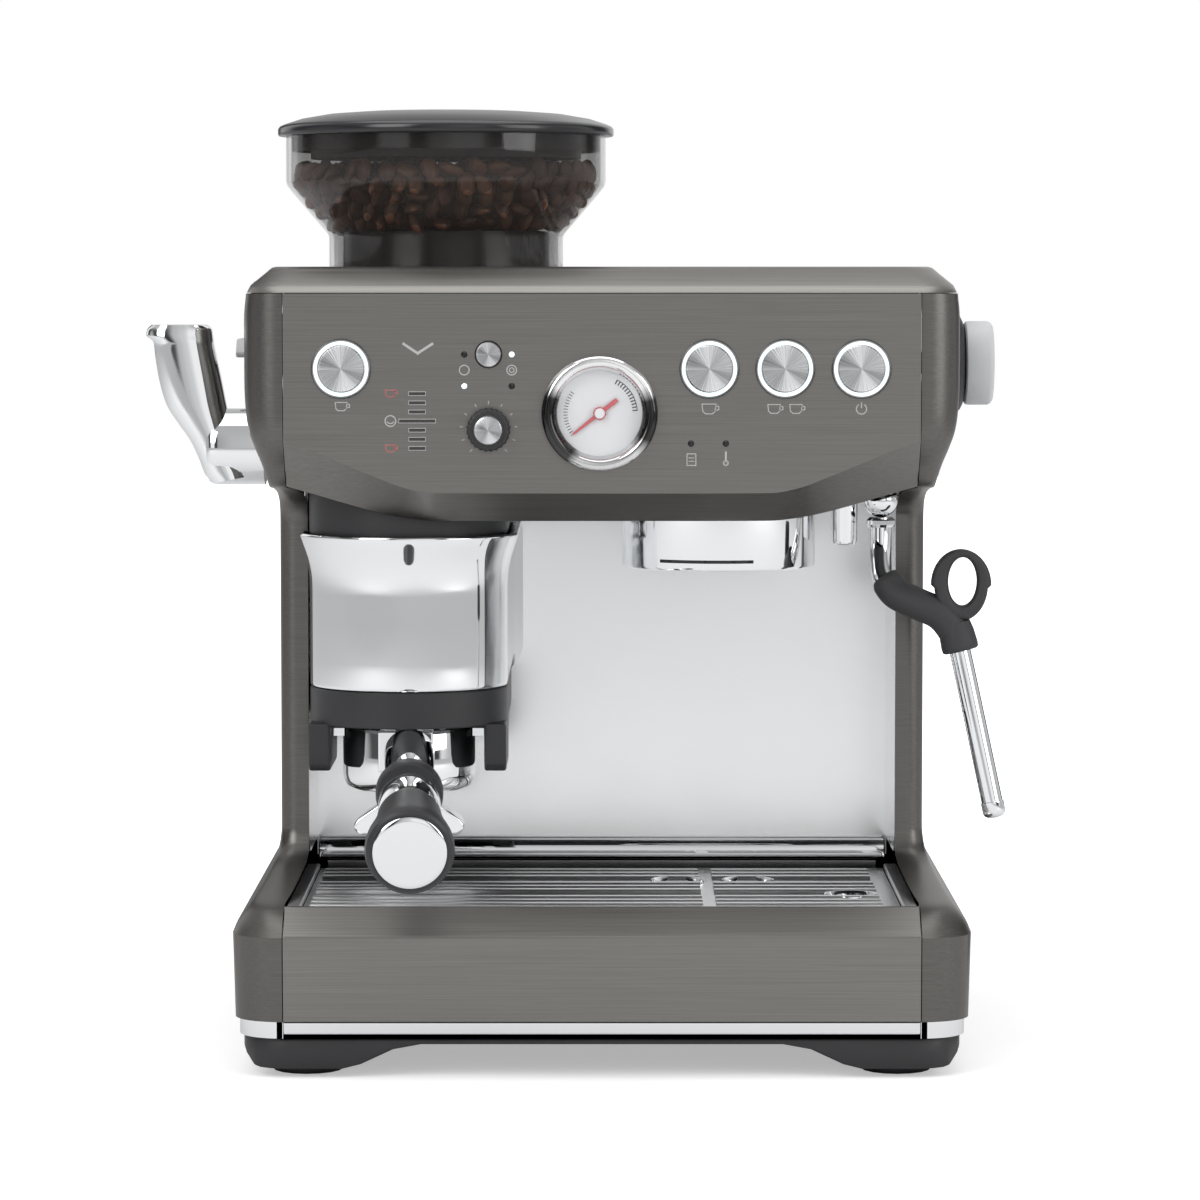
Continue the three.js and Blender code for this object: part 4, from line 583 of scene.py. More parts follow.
make("base_band", *prism(band_line(-140, 2.8, 20) + band_line(-138, 8.8, 14)[::-1], BAND_FOOT, BAND_TOP,
        "Z"), CHROME, "housing", ["base_trim"], bevel=0.8)
make("tray_front", *prism([(17.2, 24.9), (17.2, 27.4), (4, 27.4), (2.5, 60.4), (15.8, 70.5), (17.2, 70.5),
        (17.2, 73), (15, 73), (0.3, 62.2), (0, 61.4), (0.1, 60.4), (1.5, 24.9)], -PANEL_HALF, PANEL_HALF,
        "X"), DARK_STEEL, "drip_tray", ["drip_tray_front"], sharp=20, bevel=0.3)
make("tray_band", *prism([(9, BAND_FOOT), (9, BAND_TOP), (2.8, BAND_TOP), (2.9, 19.5), (5.5, BAND_FOOT)],
        -PANEL_HALF, PANEL_HALF, "X"), CHROME, "drip_tray", bevel=0.6)

# ---- splash panel and drip grid
make("splash_plate", *merged(block(-132.6, 132.6, 178, 180.8, 76, 253.7),
        *[prism([(179, 85), (179, 253.7), (103.3, 253.7), (103.3, 102), (108, 92), (116, 85)], s * 131.95,
        s * 133.1, "X") for s in (-1, 1)]), MIRROR, "housing", ["splash_panel"])
make("splash_rail", *turned([(0, -131.4), (4.6, -131.4), (5.1, -130.8), (5.1, 130.8), (4.6, 131.4),
        (0, 131.4)], (0, 172, 78.8), "X", 40), CHROME)


RIDGE = 11.8
ROWS = [(24, 59.4), (71.2, 106.6), (118.4, 153.8)]


def grid_height(y):
    """Height of the drip grid's top: low ridges across the machine."""
    phase = ((y - ROWS[0][0]) % RIDGE) / RIDGE
    lift = 0.5 - 0.5 * math.cos(2 * math.pi * phase)
    return 70.7 + 2.1 * min(1.0, lift * 1.5)


def ridge_panel(x0, x1, y0, y1):
    steps = round((y1 - y0) / 0.8)
    top = [(y, grid_height(y)) for y in (y0 + (y1 - y0) * i / steps for i in range(steps + 1))]
    return prism(top + [(y, z - 1.0) for y, z in reversed(top)], x0, x1, "X")


grid = make("grid_plate", *block(-130.2, 130.2, 17.7, 166.3, 69.9, 70.9), GRID_STEEL, "grid", ["drip_grid"],
    bevel=0.4)
for i, (a, b) in enumerate(ROWS):
    make(f"grid_ridges_{i}_left", *ridge_panel(-127, 44, a, b), GRID_STEEL, "grid", sharp=50)
    make(f"grid_ridges_{i}_right", *ridge_panel(50, 122, a, b), GRID_STEEL, "grid", sharp=50)
cut(grid, *[block(x0, x1, a + RIDGE * k - 1.1, a + RIDGE * k + 1.1, 68, 72) for a, _ in ROWS for k in (1, 2)
        for x0, x1 in ((-118, -64), (-56, 0), (8, 40), (58, 112))])
make("tray_rim", *merged(*[block(*sorted((s * 130.7, s * 136.6)), 18, 167, 70.2, 72.8) for s in (-1, 1)]),
    GRID_STEEL, "drip_tray", bevel=0.5)
for i, (x, y) in enumerate([(34, 112), (66, 112), (110, 62)]):
    make(f"grid_ring_{i}", *turned([(8.6, 70.6), (10.6, 72.6), (11.8, 72.6), (12.4, 70.6), (9.4, 70.2)],
            (x, y, 0), "Z", 48), CHROME, "grid", sharp=60)

# ---- tamping station
def u_path(half, z, back=177.7):
    """The housing's line at one height: round in front, straight back to the splash panel."""
    low, high = TAMP_X - half, TAMP_X + half
    inner = max(low, 0.3 - BAY_HALF)
    line = [(inner, back), (inner, 98.5), (low, 96.5)] + arc(TAMP_X, TAMP_Y, half, 180, 360, 48)
    return [(x, y, z) for x, y in line + [(high, 96.5), (high, 98.5), (high, back)]]


def u_shell(rows, wall):
    return loft([u_path(h, z) + u_path(h - wall, z)[::-1] for z, h in rows])


SHROUD = smooth_rows([(163.2, 43.1), (163.6, 43.6), (165, 43.9), (205, 43.9), (212, 44.2), (218, 45.2),
        (223, 46.6), (228, 48.2), (230.4, 48.8), (231.2, 48.4)], 3)
make("shroud_skin", *merged(u_shell(SHROUD, 1.4), prism([(-45, 163.2), (-42.1, 163.2), (-38.2, 168),
        (-36.6, 173), (-36.6, 228), (-38, 231.2), (-45, 231.2)], 174.7, 177.7)), CHROME, "housing",
    ["tamp_shroud"], sharp=40)

make("tamp_neck", *u_shell([(163, 41.4), (163, 41.2), (212, 41.2), (220, 43), (233, 44.2), (253.8, 44.2)],
        2.5), BLACK, "housing", ["tamp_housing"], sharp=35)
make("tamp_cradle", *u_shell([(147, 43.4), (147.6, 43.9), (162.4, 43.9), (162.9, 43.4)], 9.6), BLACK,
    sharp=35)
for s in (-1, 1):
    a, b = sorted((TAMP_X + s * 34, TAMP_X + s * 43.7))
    make("fork_left" if s < 0 else "fork_right", *prism([(62, 148), (63, 134), (64.4, 129), (68, 126.4),
            (116, 126.4), (120, 128), (124, 148)], a, b, "X"), BLACK, bevel=1.2)

# ---- tamp lever
LEFT_EDGE = [(-200.4, 323.2), (-202.3, 321), (-202.6, 318.6), (-199.4, 315.6), (-198.6, 309), (-197, 299),
    (-193.8, 288), (-188.6, 279.6), (-183, 271.6), (-179.2, 263.4), (-176.6, 256.6), (-173.6, 253)]
RIGHT_EDGE = [(-176, 323.2), (-173.9, 321.4), (-173.4, 318.6), (-173, 315), (-171.8, 309), (-169.7, 299),
    (-167.6, 288), (-165.8, 279.6), (-164, 271.2), (-161.6, 264.2), (-158.4, 259.4), (-157.8, 256)]
edges = smooth_rows([(*a, *b) for a, b in zip(LEFT_EDGE, RIGHT_EDGE)], 5)
lever_rings = []
for k, (x0, z0, x1, z1) in enumerate(edges):
    depth = 15 if k > 14 else 13.5 + 1.5 * k / 14
    lever_rings.append([((x0 + x1) / 2 + (x1 - x0) / 2 * u, LEVER_PIVOT[1] + depth * v,
            (z0 + z1) / 2 + (z1 - z0) / 2 * u) for u, v in (swell(a, 0.62) for a in circle(36))])
make("lever_arm", *merged(loft(lever_rings), turned([(0, -176), (13, -176), (15.6, -175), (16.7, -172.8),
        (17, -170), (17, -150), (0, -150)], LEVER_PIVOT, "X", 64), turned(rod(5, -150.2, -74), LEVER_PIVOT,
        "X", 24)), CHROME, "lever", ["tamp_lever"], sharp=50)

# ---- portafilter
make("portafilter_cup", *merged(turned([(5, 116.8), (20, 116.8), (25, 117.2), (28, 118.9), (29.2, 121.4),
        (29.5, 124), (29.5, 144.6), (29.1, 145.5), (28.2, 145.8), (27.4, 145.8), (27.3, 124), (18, 119.8),
        (5, 119.8)], (TAMP_X, TAMP_Y, 0)), *[block(*sorted((TAMP_X + s * 28.5, TAMP_X + s * 33.5)),
        TAMP_Y - 9, TAMP_Y + 9, 141, 144.4) for s in (-1, 1)]), CHROME, "portafilter", ["portafilter_head"],
    sharp=35)
block_front = TAMP_Y - 41.5
neck = make("portafilter_neck", *block(TAMP_X - 12.1, TAMP_X + 12.1, block_front, TAMP_Y - 26, 128, 145.6),
    CHROME, "portafilter", bevel=2.2)
cut(neck, block(TAMP_X - 2.2, TAMP_X + 2.2, block_front - 2, block_front + 3, 133, 144))
YAW, DROOP = math.radians(2.35), math.radians(9.8)


def handle_part(name, profile, material, nodes=()):
    """A (radius, distance) profile about the handle's axis, which slopes down to the front."""
    verts, faces = turned(profile, axis="Y", segments=64)
    out = []
    for x, y, z in verts:
        y, z = y * math.cos(DROOP) - z * math.sin(DROOP), y * math.sin(DROOP) + z * math.cos(DROOP)
        x, y = x * math.cos(YAW) - y * math.sin(YAW), x * math.sin(YAW) + y * math.cos(YAW)
        out.append((x + TAMP_X + 1.6, y + TAMP_Y - 40.5, z + 136.2))
    make(name, out, faces, material, "portafilter", nodes, sharp=35)


handle_part("handle_neck", [(0, -1), (11, -1), (11.2, 6), (10.6, 30), (9.4, 46), (8.4, 50.2), (0, 50.2)],
    CHROME)
handle_part("handle_grip", [(0, 50.5), (9.4, 50.5), (11.6, 52), (13.6, 56), (14.4, 60), (14.4, 64.6),
        (13.6, 66.2), (11.4, 66.6), (11.4, 101), (12.4, 101.4), (13.6, 102.6), (14.2, 112), (15.6, 124),
        (17.2, 135), (18.3, 142), (18.5, 146), (17.9, 149), (16.6, 150.2), (15.4, 150.2), (15.4, 148.8),
        (0, 148.8)], BLACK, ["portafilter_handle"])
handle_part("handle_ferrule", [(11.6, 66.9), (12.8, 67), (13.2, 67.6), (13.2, 100), (12.8, 100.8),
        (11.6, 100.9)], CHROME, ["handle_sleeve"])
handle_part("handle_cap", [(0, 148.9), (15.2, 148.9), (15.2, 150.6), (14.6, 151.1), (13, 151.35),
        (0, 151.5)], CHROME)
SPOUT_SIDE = [(7.5, 116.4), (9.4, 113.6), (12.6, 110.6), (18.5, 106.6), (23, 103.4), (24.8, 101),
    (24.4, 98.6), (22, 96.6), (18.4, 96.1), (15.6, 97.4), (10, 102.4), (5.4, 105.6), (0, 106.8)]
spout_line = SPOUT_SIDE + [(-x, z) for x, z in SPOUT_SIDE[-2::-1]]
make("portafilter_spouts", *merged(prism([(TAMP_X + x, z) for x, z in spout_line], TAMP_Y - 7.5,
        TAMP_Y + 7.5, "Y"), turned(rod(9, 110, 116.5), (TAMP_X, TAMP_Y, 0), "Z", 40)), CHROME,
    "portafilter", ["portafilter_spout"], sharp=40, bevel=2.6, bevel_angle=35)

# ---- brew group and hot water spout
make("group_body", *turned([(35.5, 215.9), (36, 215.7), (41.6, 215.7), (42.6, 216.1), (GROUP_R, 217.2),
        (GROUP_R, 253.8), (20, 253.8), (20, 230.7), (35.5, 230.7)], (GROUP_X, GROUP_Y, 0), "Z", 96), CHROME,
    "housing", ["group_head"], sharp=35)
make("water_spout", *turned([(2.6, 239.4), (2.6, 225.6), (3, 225.4), (4.6, 225.4), (5.5, 226),
        (5.85, 227.4), (5.85, 244.4), (6.4, 246.4), (6.4, 253.8), (0, 253.8), (0, 239.4)], (108.3, 92, 0),
        "Z", 40), CHROME, "housing", ["hot_water_spout"], sharp=35)

# ---- steam dial, wand
make("steam_bezel", *turned([(8.5, 155.3), (23, 155.3), (23, 156.6), (22.4, 158.6), (21, 160.4),
        (18.6, 161.6), (8.5, 162)], STEAM_HUB, "X", 72), BLACK, "housing", ["steam_dial_bezel"])
make("steam_knob_skin", *merged(turned([(0, 162.4), (17.6, 162.4), (18.5, 163), (18.75, 164),
        (18.75, 172.6), (18.2, 174), (17, 174.9), (0, 175.2)], STEAM_HUB, "X", 72),
        turned(rod(5, 120, 162.6), STEAM_HUB, "X", 24)), GREY, "steam_knob", ["steam_dial"])


def wand_at(p):
    return tuple(a + b for a, b in zip(p, WAND))


WAND_PATH = [(0, 0, -8.4), (0, -1, -20), (-0.2, -5, -28), (0.8, -10, -35), (6, -15, -40.5),
    (15, -18.5, -44.8), (25, -20.5, -49.5), (31.5, -21, -57.5), (34.2, -21.2, -67), (41.5, -23.6, -101),
    (48.6, -25.9, -134.6)]
make("wand_tube", *tube([wand_at(p) for p in WAND_PATH], lambda t: 4.75), CHROME, "wand", ["steam_wand"],
    sharp=60)
make("wand_tip", *turned_along(wand_at(WAND_PATH[-1]), Vector(WAND_PATH[-1]) - Vector(WAND_PATH[-2]), [
    (-4.4, 4.1), (-3.4, 4.1), (-2.8, 5.1), (1.8, 5.1), (3, 4.6), (4, 3.2), (4.4, 1.4)]), CHROME, "wand")
make("wand_collar", *turned([(0, -12), (5.6, -12), (6.4, -10.8), (6.4, -9), (5, -7.6), (0, -7.6)], WAND,
        "Z", 40), CHROME, "wand")
GRIP = [(1.2, -12, -34), (6, -15, -40.5), (15, -18.5, -44.8), (25, -20.5, -49.5), (31.5, -21, -57.5),
    (33.8, -21.1, -65)]
make("wand_rubber", *tube([wand_at(p) for p in GRIP], lambda t: 7.1 * min(1, 0.86 + 2.5 * min(t, 1 - t))),
    RUBBER, "wand", ["wand_grip"], sharp=50)
loop_rings = []
for a in circle(64):
    c, s = math.cos(a), math.sin(a)
    inside = Vector(wand_at((34.8 + 6.3 * c, -20.8, -34.8 + 10.6 * s)))
    outside = Vector(wand_at((34.2 + 13.3 * c - (1.5 * c if s < 0 else 0), -20.8, -36.4 + 15.8 * s)))
    loop_rings.append([tuple(inside.lerp(outside, 0.5 + 0.5 * u) + Vector((0, 4.8 * v, 0)))
            for u, v in (swell(b, 0.6) for b in circle(20))])
make("wand_loop", *loft(loop_rings + [loop_rings[0]], caps=False), RUBBER, "wand", sharp=60)
make("wand_cuff", *turned_along(wand_at((33.4, -21.1, -62)), (0.24, -0.03, -1), [
    (-9, 7), (-5, 7.8), (1, 8.2), (3, 8), (3.6, 7.2), (3.7, 5)]), RUBBER, "wand", sharp=50)
ball = [(abs(r), h) for r, h in arc(0, 0, 7.6, -90, 90, 24)]
make("wand_ball_skin", *turned(ball, WAND, "Z", 48), CHROME, "wand_joint", ["wand_ball"])
make("wand_collet", *turned([(7, 4.6), (9.4, 4.6), (10.2, 5.2), (10.4, 6), (10.4, 8.3), (5.2, 8.3),
        (5.2, 7)], WAND, "Z", 48), CHROME, "housing", ["wand_socket"])

# ---- hopper, lid and beans
HC = (HOPPER_X, HOPPER_Y, 0)
HOPPER_SKIN = [(53.35, 344.8), (53.35, 362.4), (53.9, 364), (55.6, 366), (70.4, 383.4), (72.2, 385.8),
    (72.8, 388), (72.8, 408)]
HOPPER_WALL = [(r - 2.2, z) for r, z in HOPPER_SKIN[::-1]]
make("hopper_shell", *turned(HOPPER_SKIN + HOPPER_WALL[:-1] + [(51.1, 347), (20, 347), (20, 344.8)], HC,
        "Z", 96), SMOKE, "hopper", ["bean_hopper"], sharp=40)
make("hopper_lid_skin", *turned([(0, 407.8), (67.8, 407.8), (67.8, 401.3), (70, 401.3), (70, 408.3),
        (75.9, 408.3), (76.4, 408.9), (76.4, 411.4), (75.6, 412.6), (73.4, 413.6), (66, 416), (54, 418.1),
        (38, 419.3), (20, 419.8), (0, 420)], HC, "Z", 96), GLOSS_BLACK, "lid", ["hopper_lid"], sharp=40)
make("hopper_lid_skirt", *turned([(60, 398), (61.6, 398), (61.6, 407.7), (60, 407.7)], HC, "Z", 96), BLACK,
    "lid")


def hopper_inner(z):
    """The hopper's inner radius at a height."""
    return along(sorted((height, r) for r, height in HOPPER_WALL), z)


random.seed(11)
bean_verts, bean_faces = [], []
BEAN_HALF = (6.2, 4.5, 3.3)
BEAN_GAP = 9.6
BEAN_BANDS, BEAN_SIDES = 6, 10


def bean(x, y, z, size=1.0):
    """One coffee bean: a flattened egg with a groove along one side."""
    turn = [random.uniform(0, 2 * math.pi) for _ in range(3)]
    c, s = [math.cos(a) for a in turn], [math.sin(a) for a in turn]
    base = len(bean_verts)
    for i in range(BEAN_BANDS + 1):
        lat = math.pi * (i / BEAN_BANDS - 0.5)
        for j, lon in enumerate(circle(BEAN_SIDES)):
            u, v, w = math.sin(lat), math.cos(lat) * math.cos(lon), math.cos(lat) * math.sin(lon)
            u, v, w = [q * half * size for q, half in zip((u, v, w), BEAN_HALF)]
            if j in (2, 3):
                w -= 0.95 * size
            v, w = v * c[0] - w * s[0], v * s[0] + w * c[0]
            u, w = u * c[1] - w * s[1], u * s[1] + w * c[1]
            u, v = u * c[2] - v * s[2], u * s[2] + v * c[2]
            bean_verts.append((x + u, y + v, z + w))
    for i in range(BEAN_BANDS):
        low, high = base + i * BEAN_SIDES, base + (i + 1) * BEAN_SIDES
        for j in range(BEAN_SIDES):
            k = (j + 1) % BEAN_SIDES
            bean_faces.append([low + j, low + k, high + k, high + j])


for layer in range(5):
    z = 369.5 + layer * 5.6
    edge = hopper_inner(z) - 5.6
    for ring in range(2 if z < 386 else int(edge / BEAN_GAP)):
        r = edge - ring * BEAN_GAP
        count = max(int(2 * math.pi * r / 9.8), 1)
        for k in range(count):
            a = 2 * math.pi * (k + random.uniform(-0.2, 0.2)) / count + layer * 0.7
            bean(HOPPER_X + r * math.cos(a), HOPPER_Y + r * math.sin(a), z + random.uniform(-1.2, 1.2),
                 random.uniform(0.86, 1.0))
make("beans", bean_verts, bean_faces, BEAN, "hopper", sharp=70)
make("beans_core", *turned([(0, 366), (44, 366), (54, 380), (57, 386), (0, 386)], HC, "Z", 40), BEAN,
    "hopper")
make("hopper_throat", *turned([(0, 348.2), (47, 348.2), (47, 365), (40, 365.8), (0, 365.8)], HC, "Z", 64),
    GLOSS_BLACK, "hopper")

# ---- buttons and lamps
# Each button face carries painted highlight fans in its base colour.
for key, x in BUTTON_X.items():
    face = radial_brushed_painted_highlights("button_face_" + key, x, BUTTON_Z, (0.74, 0.75, 0.76))
    make("key_" + key, *turned([(0, -24), (10.1, -24), (10.1, -17.7), (9.7, -17.2), (8.9, -17), (0, -17.2)],
            (x, 0, BUTTON_Z), "Y", 64), face, "key_" + key, ["button_" + key])
    make("ring_" + key, *turned([(10.3, -24), (11.9, -24), (11.9, -18.9), (11.7, -18.7), (10.5, -18.7),
            (10.3, -18.9)], (x, 0, BUTTON_Z), "Y", 64), LIGHT, "housing",
        ["light_guide"] if key == "dose" else [])
    make("bezel_" + key, *turned([(11.95, -24), (12.5, -24), (12.5, -19.8), (12.95, -19.8), (12.85, -19.1),
            (12.4, -18.5), (11.95, -18.6)], (x, 0, BUTTON_Z), "Y", 64), DARK_CHROME)
make("key_filter", *turned([(0, -26), (5.5, -26), (5.5, -18), (5.1, -17.3), (4.4, -17.1), (0, -17.2)],
        (FILTER_X, 0, FILTER_Z), "Y", 48), radial_brushed_painted_highlights("button_face_filter", FILTER_X, FILTER_Z,
        (0.6, 0.61, 0.62)), "key_filter", ["button_filter"])
for i, (x, z) in enumerate(LAMPS):
    make(f"lamp_{i}", *turned([(0, -22), (1.25, -22), (1.25, -19.9), (0.8, -19.5), (0, -19.4)], (x, 0, z),
            "Y", 20), LIGHT if i in LAMPS_LIT else LAMP_OFF)
for i, (z, w) in enumerate(BARS):
    make(f"meter_frame_{i}", *block(METER_X - w - 0.25, METER_X + w + 0.25, 19.85, 20.05, z - 0.95,
            z + 0.95), PRINT)
    make(f"meter_bar_{i}", *block(METER_X - w, METER_X + w, 19.75, 20.0, z - 0.68, z + 0.68), SLOT_DARK,
        bevel=0.1)


def ribbed(radius, depth, ribs, steps):
    """Points once round a ribbed edge."""
    radii = [(a, radius - depth * (0.5 + 0.5 * math.cos(a * ribs))) for a in circle(steps)]
    return [(r * math.cos(a), r * math.sin(a)) for a, r in radii]


# Dose knob: ribbed skirt and a bright cap.
knob_rings = [[(FILTER_X + u * scale, y, KNOB_Z + v * scale) for u, v in ribbed(9.5, 0.55, 24, 120)]
    for y, scale in ((19.6, 0.97), (19.2, 1.0), (16.2, 1.0), (15.2, 0.93), (15, 0.86))]
make("dose_skirt", *loft(knob_rings), BLACK, "dose_dial", ["dose_knob"], sharp=55)
make("dose_cap", *turned([(0, -15.2), (6.2, -15.2), (6.2, -9), (5.9, -8), (5.2, -7.6), (0, -7.7)],
        (FILTER_X, 0, KNOB_Z), "Y", 56), radial_brushed_painted_highlights("dose_cap_face", FILTER_X, KNOB_Z,
        (0.62, 0.63, 0.64)), "dose_dial")

# ---- gauge
GC = (GAUGE_X, 0, GAUGE_Z)
# The gauge rim carries a painted reflection: bright and dark fans in its base colour.
make("gauge_rim", *turned([(18.4, -23), (21.9, -23), (21.9, -19.8), (25, -19.8), (25, -16.4), (24.4, -14.9),
        (23, -14.1), (21.4, -14.1), (20, -15.2), (19.2, -17), (18.4, -18.4)], GC, "Y", 96),
    radial_brushed_painted_highlights("gauge_chrome", GAUGE_X, GAUGE_Z, (0.9, 0.9, 0.905), RIM_PAINTED_REFLECTION, (0.09, 0.12), 0.95),
    "housing", ["gauge_bezel"], sharp=50)
make("gauge_face", *turned([(0, -21.4), (20, -21.4), (20, -20.4), (1.2, -20.4), (0, -20.4)], GC, "Y", 96),
    DIAL, "housing", ["gauge_dial"])


def on_dial(degrees, points):
    """Points of (distance along a radius, distance across it) on the gauge's dial, as (x, z)."""
    c, s = math.cos(math.radians(degrees)), math.sin(math.radians(degrees))
    return [(GAUGE_X + u * c - v * s, GAUGE_Z + u * s + v * c) for u, v in points]


NEEDLE_REST = 218
make("needle_arm", *prism(on_dial(NEEDLE_REST, [(-9.6, -1), (-9.6, 1), (0, 0.95), (14, 0.5), (15.4, 0),
        (14, -0.5), (0, -0.95)]), 19.3, 19.8, "Y"), NEEDLE, "needle", ["gauge_needle"])
make("needle_hub", *turned([(0, -19.9), (2.8, -19.9), (2.8, -18.8), (2.3, -18.2), (0, -18.1)], GC, "Y", 40),
    NEEDLE, "needle")
make("needle_cap", *turned([(0, -18.2), (2.2, -18.2), (2.2, -17.9), (1.9, -17.7), (0, -17.7)], GC, "Y", 40),
    DIAL, "needle")
INK = (20.3, 20.39)
marks = []
for degrees in [NEEDLE_REST - 5 * i for i in range(16)] + [62 - 5.2 * i for i in range(12)]:
    r0, r1, w = (13.8, 15.6, 0.17) if degrees > 90 else (14.2, 16.4, 0.28)
    marks.append(prism(on_dial(degrees, ((r0, -w), (r1, -w), (r1, w), (r0, w))), *INK, "Y"))
zone = [on_dial(a, [(r, 0)])[0] for r, turn in ((16.4, range(62, 4, -3)), (16.05, range(5, 63, 3)))
    for a in turn]
make("gauge_marks", *merged(*marks, prism(zone, *INK, "Y")), PRINT_BLACK, sharp=30)
make("gauge_glass", *turned([(0, -17.2), (18.3, -17.2), (18.3, -16.6), (0, -16.6)], GC, "Y", 72), GLASS)

# ---- grind dial on the left side
dial_rings = [[(x, GRIND_HUB[1] + u * scale, GRIND_HUB[2] + v * scale) for u, v in ribbed(30, 0.5, 36, 144)]
    for x, scale in ((-155.4, 0.98), (-156, 1), (-158.6, 1), (-159.4, 0.97))]
make("grind_disc", *merged(loft(dial_rings), turned(rod(6, -155.6, -131.5), GRIND_HUB, "X", 24)),
    BLACK, "grind_dial", ["grind_size_dial"], sharp=50)
make("grind_tab", *prism([(116.6, 308.6), (116, 310.4), (122, 316.7), (152, 316.7), (156, 314.7),
        (156, 310.3), (152, 308.3), (117.4, 308.3)], -164.8, -158.6, "X"), GREY, "grind_dial", bevel=1.0)

# ---- printed signs on the fascia
PROUD = 0.012


def stroke(points, width, y0=19.93, y1=20.05):
    """A flat line through (x, z) points on the fascia. Every second length stands a little proud."""
    shapes = []
    for k, ((x0, z0), (x1, z1)) in enumerate(zip(points, points[1:])):
        length = math.hypot(x1 - x0, z1 - z0) or 1
        front = y0 - PROUD * (k % 2)
        ux, uz = (x1 - x0) / length * width / 2, (z1 - z0) / length * width / 2
        shapes.append(prism([(x0 - ux + uz, z0 - uz - ux), (x1 + ux + uz, z1 + uz - ux),
                (x1 + ux - uz, z1 + uz + ux), (x0 - ux - uz, z0 - uz + ux)], front, y1, "Y"))
    return merged(*shapes)


def sign(name, shapes, material=PRINT):
    make(name, *merged(*shapes), material, sharp=30)


def curl(x, z, radius, start=0, end=360, steps=16, width=0.45):
    return stroke(arc(x, z, radius, start, end, steps), width)


def cup_sign(x, z, size=1.0):
    cup = [(-3, 2), (-2.6, -1.2), (-1.5, -2.2), (1.5, -2.2), (2.6, -1.2), (3, 2), (-3, 2)]
    handle = [(2.8, 1.2), (4.2, 1), (4.3, -0.4), (2.6, -0.8)]
    return [stroke([(x + u * size, z + v * size) for u, v in line], 0.4) for line in (cup, handle)]


sign("sign_chevron", [stroke([(-85.2, 315.8), (-79.2, 311.8), (-73, 315.8)], 1.1)])
sign("sign_one_cup", cup_sign(46, 288))
sign("sign_two_cup", cup_sign(74, 288, 0.9) + cup_sign(83.4, 288, 0.9))
sign("sign_power", [curl(111.6, 287.9, 2.2, 125, 415, 20), stroke([(111.6, 288.4), (111.6, 290.6)], 0.45)])
sign("sign_dose", cup_sign(-112.2, 289, 0.85))
sign("sign_more", cup_sign(-91, 294.6, 0.7), PRINT_RED)
sign("sign_less", cup_sign(-91, 271, 0.7), PRINT_RED)
sign("sign_level", [curl(-91, METER_Z, 2.3, steps=20), curl(-91, METER_Z + 0.6, 1.7, 215, 325, 8, 0.4)])
sign("sign_water", [stroke([(36.6, 263.6), (36.6, 268.6), (40.4, 268.6), (40.4, 263.6), (36.6, 263.6)],
        0.4), stroke([(37.4, 265.4), (39.6, 265.4)], 0.35), stroke([(37.4, 266.8), (39.6, 266.8)], 0.35)])
sign("sign_heat", [stroke([(53.3, 265.4), (53.3, 269.2)], 0.8), curl(53.3, 264.6, 0.9, steps=12,
        width=0.7)])
sign("sign_filter", [curl(-59.2, 304.6, 2.1), curl(-38.8, 304.6, 2.1), curl(-38.8, 304.6, 1.0, steps=12,
        width=0.4)])
ticks = []
for i in range(11):
    a = math.radians(-50 + 28 * i)
    r0 = 11.4 if i % 5 else 11.1
    ticks.append(stroke([(FILTER_X + r * math.cos(a), KNOB_Z + r * math.sin(a)) for r in (r0, 12.2)], 0.45))
sign("sign_dose_scale", ticks)
# A thin dark line round the front of the group head, from just inside its wall to just outside.
STEPS, FIRST, STEP = 24, -128, 2.4
group_mark = []
for i in range(STEPS):
    group_mark.append(loft([[(GROUP_X + r * math.cos(a), GROUP_Y + r * math.sin(a), z)
            for r, z in ((GROUP_R + 0.08, 219.2), (GROUP_R + 0.08, 220.6), (GROUP_R - 0.1, 220.6),
            (GROUP_R - 0.1, 219.2))] for a in (math.radians(FIRST + k * STEP) for k in (i, i + 1))]))
make("group_mark", *merged(*group_mark), PRINT_BLACK, sharp=30)

# ---- the rest of the CAD pieces
PLAIN = (
    (BLACK, "base_pan rear_cover head_underside drip_tray_tub tank_lid"), (GLOSS_BLACK, "burr_carrier"),
    (RUBBER, "foot_front_left foot_front_right foot_rear_left foot_rear_right group_gasket cord_gland"),
    (SATIN, "cup_warming_tray"), (CHROME, "filter_basket"), (SMOKE, "water_tank"), (BOARD, "control_board"),
    (TURNED, "chassis_frame tamp_piston shower_screen thermocoil_heater grinder_motor lower_burr"),
    (BRASS, "vibration_pump steam_valve"),
)
CREASE_ANGLE = 32
ROUNDED = {"base_pan": 0.8, "rear_cover": 0.5, "head_underside": 0.4, "tank_lid": 1.2,
    "cup_warming_tray": 0.5, "foot_front_left": 0.5, "foot_front_right": 0.5, "water_tank": 0.6,
    "drip_tray_tub": 0.5, "tamp_piston": 0.4}
for material, names in PLAIN:
    for name in names.split():
        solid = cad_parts[name]
        solid.data.materials.clear()
        solid.data.materials.append(material)
        solid.data.shade_smooth()
        solid.modifiers.new("weld", "WELD").merge_threshold = 1e-5
        if name in ROUNDED:
            soften(solid, ROUNDED[name], CREASE_ANGLE, 2)
        else:
            solid.modifiers.new("split", "EDGE_SPLIT").split_angle = math.radians(CREASE_ANGLE)

